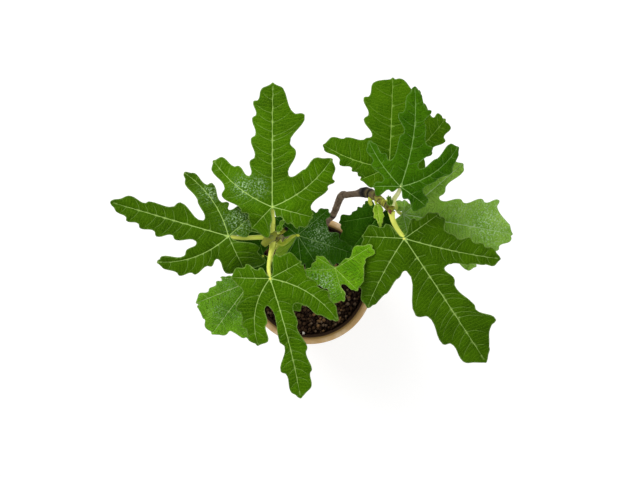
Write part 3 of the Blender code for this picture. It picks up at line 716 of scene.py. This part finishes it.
def blade_mesh(name, leaf, materials, seed, sheen_spots):
    """The blade with its veins among its edges, folded along the midribs and puckered between veins."""
    rng = np.random.default_rng(seed)
    edge = outline(leaf)
    lobes = lobes_of(leaf)
    small = max(lobe.length for lobe in lobes) < SMALL_LEAF
    thin, relief = SMALL_SHARES if small else (1.0, 1.0)
    widths = [MIDRIB_WIDTH * thin * min(1.0, 0.55 + lobe.length / 160) for lobe in lobes]
    ribs = [tapered(midrib(lobe), width, MIDRIB_TIP_WIDTH) for lobe, width in zip(lobes, widths)]
    veins = [tapered(line, SIDE_WIDTH * thin, SIDE_TIP_WIDTH) for line in side_veins(leaf, edge)]
    spots = [Vector(p) for p in edge]
    links = [(i, (i + 1) % len(edge)) for i in range(len(edge))]
    for line, sizes in ribs + veins:
        for track in (line, *side_lines(line, sizes)):
            kept = inside(edge, np.array(track)) if track is not line else [True] * len(track)
            for k, point in enumerate(track):
                if kept[k]:
                    spots.append(point)
                    if k and kept[k - 1]:
                        links.append((len(spots) - 2, len(spots) - 1))
    margin = tapered([Vector(p) for p in np.vstack([edge, edge[:1]])], 1.0, 1.0)
    grid = grid_spots(edge, rng)
    vein_gap, ratio, _ = distances(grid, ribs + veins)
    edge_gap = distances(grid, [margin])[0]
    clear = (vein_gap > VEIN_CLEAR) & (ratio > WIDTHS_CLEAR) & (edge_gap > EDGE_CLEAR)
    spots += [Vector(p) for p in grid[clear]]
    flat, _, faces, *_ = delaunay_2d_cdt(spots, links, [], 1, 1e-4)
    flat = np.array(flat)
    along, rib_gap, lead = along_midribs(flat, [line for line, _ in ribs])
    vein_gap, ratio, place = distances(flat, ribs + veins)
    edge_gap = distances(flat, [margin])[0]
    strength = []
    for kind, full, fade, end in ((ribs, 1.0, RIB_FADE, 1), (veins, SIDE_STRENGTH, SIDE_FADE, 2)):
        for line, _ in kind:
            strength += [full * min(1.0, fade * (1 - k / (len(line) - end))) for k in range(len(line) - 1)]
    vein = np.clip(1 - ratio, 0, 1) * np.array(strength)[place]
    rim = MARGIN_VEIN * np.exp(-(edge_gap / MARGIN_WIDTH) ** 2)
    along_edge = np.argmin(((flat[:, None, :] - edge[None, :, :]) ** 2).sum(axis=2), axis=1)
    passed = np.concatenate([[0], np.cumsum(np.linalg.norm(np.diff(edge, axis=0), axis=1))])
    phase = rng.uniform(0, math.tau)
    ripple = np.array([noise.noise(Vector((x, y, seed * 50.0)) / RIPPLE_LENGTH) for x, y in flat])
    frill = np.sin(passed[along_edge] * math.tau / FRILL_LENGTH + phase) * np.exp(-edge_gap / FRILL_WIDTH)
    height = rest_height(leaf, flat)
    height += FOLD_RISE * (1 - np.exp(-rib_gap / FOLD_WIDTH))
    height += relief * PUCKER_RISE * (1 - np.exp(-(vein_gap / PUCKER_WIDTH) ** 2))
    height += relief * (RIPPLE * ripple * np.minimum(rib_gap / RIPPLE_FROM, 1) + FRILL * frill)
    height -= GROOVE * relief * vein
    solid = (np.column_stack([flat, height]) + np.array(leaf.base)) * MM
    mesh = mesh_from(name, solid, [tuple(face) for face in faces], *materials)
    clear = np.clip(lead / 2, 0, 1) * np.clip(rib_gap / 3, 0, 1) * np.clip(edge_gap / 4, 0, 1)
    set_attribute(mesh, "vein", np.maximum(vein, rim))
    set_attribute(mesh, "course", along - VEINLET_LEAN * rib_gap)
    set_attribute(mesh, "veinlet", clear)
    # Where the painted sheen lies on the blade
    set_attribute(mesh, "painted_sheen", painted_sheen_at(sheen_spots, flat))
    return mesh


def thickened(name, mesh):
    """The open surface given a thin back and a rim, which share the second material slot."""
    holder = new_object(name, mesh)
    shell = holder.modifiers.new("thickness", "SOLIDIFY")
    shell.thickness = BLADE_THICKNESS * MM
    shell.offset = -1
    shell.material_offset = 1
    shell.material_offset_rim = 1
    solid = modified(holder)
    bpy.data.objects.remove(holder)
    faces_and_back = 2 * len(mesh.polygons)
    solid.polygons.foreach_set("use_smooth", np.arange(len(solid.polygons)) < faces_and_back)
    return solid


# ---- swept tubes: stalks and bark
def swept(name, line, sizes, sides, material, relief):
    """A closed tube along the line; relief(k, angle) scales the radius at point k and angle."""
    points = []
    side = Vector((1, 0, 0))
    for k, (centre, size) in enumerate(zip(line, sizes)):
        ahead = (line[min(k + 1, len(line) - 1)] - line[max(k - 1, 0)]).normalized()
        side = (side - ahead * side.dot(ahead)).normalized()
        up = ahead.cross(side)
        for j in range(sides):
            angle = math.tau * j / sides
            out = side * math.cos(angle) + up * math.sin(angle)
            points.append((centre + out * size * relief(k, angle)) * MM)
    faces = []
    for k in range(len(line) - 1):
        for j in range(sides):
            a, b = k * sides + j, k * sides + (j + 1) % sides
            faces.append((a, b, b + sides, a + sides))
    faces += [tuple(reversed(range(sides))), tuple(range((len(line) - 1) * sides, len(line) * sides))]
    return mesh_from(name, points, faces, material)


def stalk_line(leaf):
    """Centre line of the leaf stalk, from its limb to the underside of the blade."""
    root, axis, radius = on_limb(leaf.limb, leaf.along)
    outward = direction(leaf.out).to_3d()
    outward = (outward - axis * outward.dot(axis)).normalized()
    foot = root + outward * radius
    start = foot + outward * STALK_FOOT
    main = max(lobes_of(leaf), key=lambda lobe: lobe.length)
    inward = direction(main.heading).to_3d()
    end = Vector(leaf.base) - Vector((0, 0, STALK_UNDER))
    pull = STALK_PULL * (end - start).length
    after = start + outward * pull
    before = end - (inward + Vector((0, 0, STALK_RISE))).normalized() * pull
    line = [foot - outward * 0.5]
    for k in range(STALK_STEPS + 1):
        t = k / STALK_STEPS
        u = 1 - t
        line.append(start * u**3 + 3 * after * u * u * t + 3 * before * u * t * t + end * t**3)
    tuck = inward * STALK_UNDER_BLADE
    tuck.z = rest_height(leaf, np.array([tuck.to_2d()]))[0] - STALK_DIVE
    return [*line, end + tuck]


def build_leaf(number, name, leaf, looks, nodes, sheen_spots=()):
    top, under, skin = looks[leaf.look]
    mesh = thickened(name, blade_mesh(name, leaf, [top, under], number, sheen_spots))
    add_piece(name, mesh, "leaf", *nodes)
    line = stalk_line(leaf)
    last = len(line) - 1
    sizes = [leaf.stalk * STALK_SWELL * (1 - STALK_TAPER * k / last + STALK_FLARE * math.exp(-k / 1.6))
             for k in range(last + 1)]
    sizes[-1] *= STALK_TIP

    def ribbed(k, angle):
        return 1 + 0.03 * math.cos(5 * angle) + 0.02 * noise.noise(Vector((k * 0.4, angle, number)))

    add_piece(name + "_stalk", swept(name + "_stalk", line, sizes, STALK_SIDES, skin, ribbed), "leaf")


# ---- bark
BARK_SPAN_STEPS = 12
BARK_STEP = 1.0
BARK_SIDES = 40
RING_HEIGHT = 0.07
RING_REACH = 1.6
GROOVE_BEHIND = 2.2
GROOVE_REACH = 0.7
GROOVE_LINE = 0.8
GROOVE_DARK = 0.6
SPOT_PEAK = 1.5
END_ROUND = 1.2
STEM_RINGS = [25, 47, 66, 88, 104, 126, 143, 165, 186, 204, 226, 243, 262, 276, 288, 298, 306]
STUB_GREEN = (-60, 40)
# The bough's elbow, corner, knot and end among its points
BOUGH_MARKS = (3, 4, 7, 10)


def bark_material():
    """Grey-brown bark with fine streaks, pale corky specks and dark rings; olive where it is young."""
    shader = Shader("bark")
    along = shader.add("ShaderNodeMapping", {"Vector": shader.coordinates, "Scale": (1.0, 1.0, 0.25)})
    streaks = shader.noise(420, 4, 0.6, along.outputs["Vector"])
    brown = shader.ramp(streaks, (0.28, srgb(64, 48, 34)), (0.52, srgb(96, 78, 60)),
                        (0.75, srgb(130, 110, 92)))
    patches = shader.ramp(shader.noise(70, 3), (0.42, 0.0), (0.62, 0.5))
    brown = shader.mix(patches, brown, srgb(114, 96, 78))
    specks = shader.cells(260)
    brown = shader.mix(shader.ramp(specks, (0.10, 0.8), (0.16, 0.0)), brown, srgb(146, 132, 112))
    green = shader.ramp(shader.noise(230, 3, 0.6), (0.34, srgb(66, 52, 20)), (0.46, srgb(112, 108, 26)),
                        (0.66, srgb(154, 160, 54)))
    colour = shader.mix(shader.attribute("young"), brown, green)
    colour = shader.mix(shader.attribute("dark"), colour, srgb(14, 8, 5))
    relief = shader.bump(streaks, 0.0005)
    relief = shader.bump(shader.ramp(specks, (0.08, 1.0), (0.18, 0.0)), 0.0003, relief)
    rough = shader.ramp(shader.noise(120, 2), (0.3, 0.62), (0.7, 0.85))
    return shader.finish(colour, rough, relief, 0.12)


def resampled(line, sizes, step):
    """The course of a stem with a point every step mm, and how far along it each lies."""
    lengths = np.cumsum([0.0, *((b - a).length for a, b in zip(line, line[1:]))])
    places = np.arange(0, lengths[-1], step)
    columns = [np.interp(places, lengths, values) for values in np.array(line).T]
    return list(map(Vector, zip(*columns))), list(np.interp(places, lengths, sizes)), places


def build_bark(name, line, radii, rings, young, dark_spots, nodes, seed, material):
    """One stem as a tube with bark relief, node rings and rounded end; all places in mm along it."""
    points, sizes, places = resampled(*stem_course(line, radii, BARK_SPAN_STEPS), BARK_STEP)
    for k, place in enumerate(places):
        left = (places[-1] - place) / (END_ROUND * radii[-1])
        if left < 1:
            sizes[k] *= math.sqrt(max(1 - (1 - left) ** 2, 0.02))

    def relief(k, angle):
        place = places[k]
        east, north = math.cos(angle), math.sin(angle)
        swell = sum(math.exp(-((place - ring) / RING_REACH) ** 2) for ring in rings)
        groove = sum(math.exp(-((place - ring - GROOVE_BEHIND) / GROOVE_REACH) ** 2) for ring in rings)
        ridges = noise.noise(Vector((6 * east, 6 * north, place / 22 + seed)))
        lumps = noise.noise(Vector((1.5 * east, 1.5 * north, place / 9 + seed)))
        wart = max(noise.noise(Vector((5 * east, 5 * north, place / 2.2 - seed))) - 0.45, 0)
        return 1 + RING_HEIGHT * swell - 0.03 * groove + 0.025 * ridges + 0.05 * lumps + 0.25 * wart

    mesh = swept(name, points, sizes, BARK_SIDES, material, relief)
    dark = np.zeros(len(places))
    for place, reach in dark_spots:
        dark = np.maximum(dark, np.minimum(SPOT_PEAK * np.exp(-((places - place) / reach) ** 2), 1))
    for ring in rings:
        dark = np.maximum(dark, GROOVE_DARK * np.exp(-((places - ring - GROOVE_BEHIND) / GROOVE_LINE) ** 2))
    young_from, young_reach = young
    greenness = np.clip((places - young_from) / young_reach, 0, 1)
    set_attribute(mesh, "young", np.repeat(greenness, BARK_SIDES))
    set_attribute(mesh, "dark", np.repeat(dark, BARK_SIDES))
    add_piece(name, mesh, "bark", *nodes)


def length_at(line, radii, index):
    """How far along the smoothed stem its point of that index lies, in mm."""
    course, _ = stem_course(line, radii, BARK_SPAN_STEPS)
    last = index * BARK_SPAN_STEPS
    return sum((b - a).length for a, b in zip(course[:last], course[1:last + 1]))


def build_stems():
    bark = bark_material()
    end = length_at(STEM_LINE, STEM_RADII, len(STEM_LINE) - 1)
    build_bark("stem", STEM_LINE, STEM_RADII, [ring for ring in STEM_RINGS if ring < end], (end - 95, 60),
               [(end - 12, 1.2)], ("trunk", "left_limb"), 3.0, bark)
    elbow, corner, knot, end = (length_at(RIGHT_LINE, RIGHT_RADII, index) for index in BOUGH_MARKS)
    rings = [20, 44, elbow, 92, 112, corner - 2, corner + 12, knot - 9, knot, knot + 9, knot + 22, knot + 36,
             end - 9]
    build_bark("bough", RIGHT_LINE, [radius * BOUGH_SWELL for radius in RIGHT_RADII], rings, (knot + 4, 34),
               [(elbow, 1.4), (knot, 6.5), (knot + 12, 1.8), (end - 10, 1.2)],
               ("right_limb", "right_elbow", "right_tip"), 9.0, bark)
    build_bark("stub", STUB_LINE, STUB_RADII, [6], STUB_GREEN, [(17, 2)], (), 5.0, bark)
    shoot = stalk_material("shoot", LOOKS["deep"]._replace(stalk=srgb(142, 146, 48)))
    build_bark("crown", CROWN_LINE, CROWN_RADII, [5, 11], STUB_GREEN, [], (), 6.0, shoot)


BUD_STEPS = 12
BUD_SIDES = 18
# limb, heading, length, how far aside, share of the limb's radius, dark and bright colour
BUDS = {
    "bud_left": ("left", 20, 4.5, 0.0, 0.70, srgb(92, 100, 24), srgb(140, 152, 48)),
    "bud_right": ("right", 235, 4.5, 2.6, 0.50, srgb(80, 34, 14), srgb(126, 66, 28)),
}


def build_buds():
    """Blunt end buds on the two shoots."""
    for name, (limb, heading, length, aside, width, dark, bright) in BUDS.items():
        shader = Shader(name)
        colour = shader.ramp(shader.noise(300, 3), (0.3, dark), (0.7, bright))
        material = shader.finish(colour, 0.5, shader.bump(shader.noise(500, 2), 0.0002))
        root, axis, radius = on_limb(limb, 0.995)
        outward = direction(heading).to_3d()
        lean = (axis + outward * 0.5).normalized()
        root += outward * aside
        line = [root - lean + lean * (length + 1) * k / BUD_STEPS for k in range(BUD_STEPS + 1)]
        sizes = [radius * width * math.cos(math.pi / 2 * k / (BUD_STEPS + 0.4)) ** 0.6 for k in range(BUD_STEPS + 1)]

        def scales(k, angle):
            return 1 + 0.06 * math.cos(3 * angle + k * 0.4)

        add_piece(name, swept(name, line, sizes, BUD_SIDES, material, scales), "bark")


# ---- pot and soil
POT_HEIGHT = 130.0
RIM_RADIUS = 75.0
RIM_WIDTH = 7.5
RIM_DROP = 20.0
RIM_TAPER = 1.0
RIM_BEVEL = 1.2
SHOULDER_DROP = 3.0
BODY_RADIUS = 69.5
FOOT_RADIUS = 50.0
FOOT_BEVEL = 2.0
WALL = 5.5
FLOOR = 8.0
LIP_ROUND = 3.0
DRAIN_HOLES = 4
DRAIN_RADIUS = 5.0
DRAIN_RING = 26.0
POT_SIDES = 160
POT_SWING = 0.25
# Where the damp stain and painted shade begin inside the lip, and how far down the inner wall they deepen
DAMP_SHADE_FROM = 1.5
DAMP_SHADE_DEPTH = 7.0
SOIL_TOP = 118.0
SOIL_CROWN = 3.0
SOIL_PLATEAU = 28.0
SOIL_SHOULDER = 45.0
SOIL_SIDES = 200


def inner_radius(height):
    bottom = FOOT_RADIUS - WALL
    return bottom + (RIM_RADIUS - RIM_WIDTH - bottom) * (height - FLOOR) / (POT_HEIGHT - LIP_ROUND - FLOOR)


def arc(centre, radius, start, end, steps):
    angles = [math.radians(start + (end - start) * k / steps) for k in range(steps + 1)]
    return [(centre[0] + radius * math.cos(a), centre[1] + radius * math.sin(a)) for a in angles]


def straight(start, end, step):
    """Points from start up to, but not at, end."""
    count = max(round(math.dist(start, end) / step), 1)
    return [tuple(a + (b - a) * k / count for a, b in zip(start, end)) for k in range(count)]


def lathe(name, profile, sides, spot_at, material):
    """A closed solid turned from (radius, height) points; spot_at places a radius, height and angle."""
    work = bmesh.new()
    angles = [math.tau * j / sides for j in range(sides)]
    rings = [[work.verts.new(spot_at(*point, angle) * MM) for angle in angles] for point in profile]
    for upper, lower in zip(rings, rings[1:]):
        for j in range(sides):
            i = (j + 1) % sides
            work.faces.new([upper[j], lower[j], lower[i], upper[i]])
    bmesh.ops.remove_doubles(work, verts=work.verts[:], dist=1e-7)
    bmesh.ops.recalc_face_normals(work, faces=work.faces)
    return new_mesh(name, work.to_mesh, material)


def pot_material():
    """Unglazed tan clay: cloudy, fine-grained, paler outside, and darker over the lip and down its inner wall,
    partly damp stain and partly painted shade.
    """
    shader = Shader("pot_clay")
    cloud = shader.noise(22, 5, 0.6)
    clay = shader.ramp(cloud, (0.30, srgb(178, 144, 98)), (0.55, srgb(196, 164, 118)),
                       (0.78, srgb(212, 186, 148)))
    height = shader.add("ShaderNodeSeparateXYZ", {"Vector": shader.coordinates}).outputs["Z"]
    upward = shader.ramp(height, (0.09, 0.55), (0.128, 1.0))
    chalk = shader.maths("MULTIPLY", shader.noise(45, 4, 0.65), upward)
    clay = shader.mix(shader.ramp(chalk, (0.46, 0.0), (0.70, 0.7)), clay, srgb(224, 208, 182))
    clay = shader.mix(shader.ramp(shader.cells(420), (0.05, 0.7), (0.09, 0.0)), clay, srgb(124, 94, 60))
    # Damp stain and painted shade over the lip and down the inner wall
    damp_and_shade = shader.attribute("damp_and_shade")
    clay = shader.mix(shader.ramp(damp_and_shade, (0.0, 0.0), (0.5, 1.0)), clay, srgb(132, 106, 62))
    # Darkest band deep down the inner wall: painted shade with damp stain
    edge = shader.maths("ADD", damp_and_shade, shader.maths("MULTIPLY", shader.noise(90, 3), 0.2))
    clay = shader.mix(shader.ramp(edge, (0.78, 0.0), (1.0, 1.0)), clay, srgb(52, 36, 22))
    relief = shader.bump(shader.noise(620, 4, 0.6), 0.0004)
    relief = shader.bump(shader.noise(60, 2), 0.0008, relief)
    return shader.finish(clay, shader.ramp(cloud, (0.3, 0.72), (0.7, 0.9)), relief, 0.15)


def damp_and_shade_at(spot):
    """Share of damp stain and painted shade: 0 on the outside of the pot, rising over its lip to 1 down the inner
    wall.
    """
    radius = math.hypot(spot.x, spot.y) / MM
    height = spot.z / MM
    over = (RIM_RADIUS - DAMP_SHADE_FROM - radius) / (RIM_WIDTH - DAMP_SHADE_FROM)
    if radius > inner_radius(height) + 1 or height < FLOOR - 1:
        return 0.5 * min(max(over, 0), 1) if height > POT_HEIGHT - LIP_ROUND else 0.0
    return 0.5 + 0.5 * min((POT_HEIGHT - height) / DAMP_SHADE_DEPTH, 1)


def thrown(radius, height, angle):
    """A spot of the pot's wall, a little uneven as on clay."""
    up = Vector((0, 0, height))
    swing = POT_SWING * noise.noise(turned(angle) + up / 30) if radius else 0
    return turned(angle) * (radius - abs(swing)) + up


def build_pot():
    top = POT_HEIGHT - LIP_ROUND
    shoulder = POT_HEIGHT - RIM_DROP
    profile = [
        *straight((0.0, FLOOR), (inner_radius(FLOOR), FLOOR), 4),
        *straight((inner_radius(FLOOR), FLOOR), (RIM_RADIUS - RIM_WIDTH, top), 3),
        *arc((RIM_RADIUS - RIM_WIDTH + LIP_ROUND, top), LIP_ROUND, 180, 90, 8),
        *arc((RIM_RADIUS - LIP_ROUND, top), LIP_ROUND, 90, 0, 8),
        *straight((RIM_RADIUS, top), (RIM_RADIUS - RIM_TAPER, shoulder + 1), 3)[1:],
        *arc((RIM_RADIUS - RIM_TAPER - RIM_BEVEL, shoulder + RIM_BEVEL), RIM_BEVEL, 0, -80, 5),
        *straight((BODY_RADIUS, shoulder - SHOULDER_DROP), (FOOT_RADIUS + FOOT_BEVEL, FOOT_BEVEL), 4),
        *arc((FOOT_RADIUS, FOOT_BEVEL), FOOT_BEVEL, 0, -90, 5),
        *straight((FOOT_RADIUS, 0.0), (0.0, 0.0), 4)[1:],
        (0.0, 0.0),
    ]
    mesh = lathe("flowerpot", profile, POT_SIDES, thrown, pot_material())
    pot = add_piece("flowerpot", mesh, "pot", "pot")
    drills = bmesh.new()
    for k in range(DRAIN_HOLES):
        angle = math.tau * (k + 0.5) / DRAIN_HOLES
        spot = Matrix.Translation(turned(angle) * DRAIN_RING * MM)
        bmesh.ops.create_cone(drills, cap_ends=True, segments=40, radius1=DRAIN_RADIUS * MM,
                              radius2=DRAIN_RADIUS * MM, depth=4 * FLOOR * MM, matrix=spot)
    cutter = new_object("drills", bpy.data.meshes.new("drills"))
    drills.to_mesh(cutter.data)
    cut = pot.modifiers.new("drain", "BOOLEAN")
    cut.solver = "EXACT"
    cut.object = cutter
    carved = modified(pot)
    pot.modifiers.clear()
    pot.data = carved
    set_attribute(carved, "damp_and_shade", [damp_and_shade_at(vert.co) for vert in carved.vertices])
    bpy.data.objects.remove(cutter)


GRANULE_COUNT = 2000
GRANULE_TRIES = 6 * GRANULE_COUNT
GRANULE_SIZES = (1.3, 2.8)
USUAL_GRANULE = 2.0
GRANULE_LAP = 0.72
HIGHEST_LEVEL = 4.5
WALL_CLEAR = 0.3
BED_DEPTH = 3.0
BED_STEP = 1.6
BED_LUMP = 1.2
BED_LUMP_LENGTH = 4.0
STEM_CLEAR = 8.5
PEBBLE_SPOT = (-7.4, -63.0)
PEBBLE_LEVEL = 4.0
# Colour of each kind and its share of the granules; the white pebble is placed by itself
GRANULE_KINDS = {
    "granules_dark": (srgb(32, 20, 13), 0.42),
    "granules_brown": (srgb(58, 42, 27), 0.34),
    "granules_tan": (srgb(106, 80, 50), 0.11),
    "granules_grey": (srgb(88, 72, 56), 0.13),
    "granules_white": (srgb(214, 206, 192), 0.0),
}


def granule_material(name, colour):
    shader = Shader(name)
    light = tuple(min(v * 1.7, 1) for v in colour)
    dark = tuple(v * 0.5 for v in colour)
    mottle = shader.ramp(shader.noise(500, 4, 0.6), (0.3, dark), (0.52, colour), (0.8, light))
    return shader.finish(mottle, 0.8, shader.bump(shader.noise(1400, 3), 0.0003), 0.06)


def soil_wall():
    return inner_radius(SOIL_TOP - SOIL_CROWN) - WALL_CLEAR


def soil_height(radius):
    """The part's mean soil level at a distance from the pot's axis."""
    if radius < SOIL_SHOULDER:
        fall = max(radius - SOIL_PLATEAU, 0) / (SOIL_SHOULDER - SOIL_PLATEAU)
        return SOIL_TOP + SOIL_CROWN * (1 - fall)
    return SOIL_TOP - SOIL_CROWN * (radius - SOIL_SHOULDER) / (soil_wall() - SOIL_SHOULDER)


def add_granule(work, rng, spot, height, size):
    angle = rng.uniform(0, math.tau)
    turn = Matrix.Rotation(angle, 4, Vector((rng.random(), rng.random(), 0.1)).normalized())
    squash = Matrix.Diagonal((rng.uniform(0.85, 1.15), rng.uniform(0.85, 1.15), rng.uniform(0.7, 0.95), 1))
    matrix = Matrix.Translation(Vector((*spot, height)) * MM) @ turn @ squash @ Matrix.Scale(size * MM, 4)
    shift = rng.uniform(0, 100)
    for vert in bmesh.ops.create_icosphere(work, subdivisions=2, radius=1.0)["verts"]:
        bulge = 1 + 0.30 * noise.noise(vert.co * 1.6 + Vector((shift, 0, 0)))
        vert.co = matrix @ (vert.co * bulge)


def build_granules():
    """Rounded lumps of baked clay in a loose top layer, joined into one piece of each colour."""
    rng = random.Random(7)
    stem = Vector(STEM_LINE[1]).to_2d()
    works = {kind: bmesh.new() for kind in GRANULE_KINDS}
    shares = [share for _, share in GRANULE_KINDS.values()]
    pebble = Vector(PEBBLE_SPOT)
    placed = [(pebble, USUAL_GRANULE, PEBBLE_LEVEL)]
    add_granule(works["granules_white"], rng, pebble, soil_height(pebble.length) + 1.0, USUAL_GRANULE)
    for _ in range(GRANULE_TRIES):
        if len(placed) >= GRANULE_COUNT:
            break
        size = rng.triangular(*GRANULE_SIZES, USUAL_GRANULE)
        reach = (soil_wall() - size) * math.sqrt(rng.random())
        spot = direction(rng.uniform(0, 360)) * reach
        if (spot - stem).length < STEM_CLEAR + size:
            continue
        level = 0.0
        for other, other_size, other_level in placed:
            gap = (spot - other).length
            if gap < GRANULE_LAP * (size + other_size):
                level = max(level, other_level + 0.8 * math.sqrt(max((size + other_size) ** 2 - gap**2, 0)))
        if level > HIGHEST_LEVEL:
            continue
        placed.append((spot, size, level))
        kind = rng.choices(list(works), shares)[0]
        add_granule(works[kind], rng, spot, soil_height(reach) - BED_DEPTH + level * 0.6 + size * 0.3, size)
    for kind, work in works.items():
        mesh = new_mesh(kind, work.to_mesh, granule_material(kind, GRANULE_KINDS[kind][0]))
        add_piece(kind, mesh, "soil", *(("soil",) if kind == "granules_dark" else ()))


def build_soil_bed():
    """The body of the soil under the loose granules, closed down to the pot's floor."""
    wall = soil_wall()
    under = FLOOR + WALL_CLEAR
    radii = [*np.arange(0.0, wall, BED_STEP), wall]
    profile = [(radius, soil_height(radius) - BED_DEPTH) for radius in radii]
    profile += [(inner_radius(under) - WALL_CLEAR, under), (0.0, under)]

    def lumpy(radius, height, angle):
        spot = turned(angle) * radius + Vector((0, 0, height))
        if radius < wall - 1 and height > FLOOR + 1:
            spot.z += BED_LUMP * noise.noise(spot / BED_LUMP_LENGTH)
        return spot

    shader = Shader("soil_bed")
    colour = shader.ramp(shader.noise(300, 4), (0.3, srgb(16, 9, 6)), (0.7, srgb(40, 26, 18)))
    material = shader.finish(colour, 0.95, shader.bump(shader.noise(500, 3), 0.0008), 0.1)
    add_piece("soil_bed", lathe("soil_bed", profile, SOIL_SIDES, lumpy, material), "soil", "soil")


# ---- stage
CAMERA_SPOT = (0.0032, 0.0489, 1.6)
CAMERA_LENS = 72.37
LIT_SPOT = (0, 0, 0.3)
FLOOR_GLOW = 0.69
WORLD_STRENGTH = 0.62
# place and size in m, and power in W
LIGHTS = {"key": ((-0.9, 1.1, 1.7), 1.0, 23), "fill": ((1.3, -0.9, 1.5), 1.4, 7)}


def build_stage():
    bpy.ops.mesh.primitive_plane_add(size=6, location=(0, 0, -0.0005))
    floor = bpy.context.object
    floor.name = "floor"
    glow = {"Emission Color": (1, 1, 1), "Emission Strength": FLOOR_GLOW}
    floor.data.materials.append(Shader("floor").finish((0.40, 0.40, 0.40), 0.9, specular=0.0, **glow))
    scene = bpy.context.scene
    scene.world = bpy.data.worlds.new("studio")
    scene.world.use_nodes = True
    background = scene.world.node_tree.nodes["Background"]
    background.inputs["Color"].default_value = (1, 1, 1, 1)
    background.inputs["Strength"].default_value = WORLD_STRENGTH
    for name, (spot, size, power) in LIGHTS.items():
        data = bpy.data.lights.new(name, "AREA")
        data.size = size
        data.energy = power
        lamp = new_object(name, data)
        lamp.location = spot
        lamp.rotation_euler = (Vector(LIT_SPOT) - Vector(spot)).to_track_quat("-Z", "Y").to_euler()
    camera = new_object("camera", bpy.data.cameras.new("camera"))
    camera.data.lens = CAMERA_LENS
    camera.location = CAMERA_SPOT
    scene.camera = camera
    scene.view_settings.view_transform = "Standard"


def build_leaves():
    looks = {
        name: (lamina_material(name + "_top", look), underside_material(name + "_under", look),
               stalk_material(name + "_stalk", look))
        for name, look in LOOKS.items()
    }
    for number, (name, leaf) in enumerate(LEAVES.items(), 1):
        build_leaf(number, name + "_fine", leaf, looks, (name,), PAINTED_SHEENS.get(name, ()))
    for number, (name, leaf) in enumerate(BUD_LEAVES.items(), FIRST_BUD_NUMBER):
        build_leaf(number, name, leaf, looks, ())


build_leaves()
build_stems()
build_buds()
build_pot()
build_granules()
build_soil_bed()
build_stage()
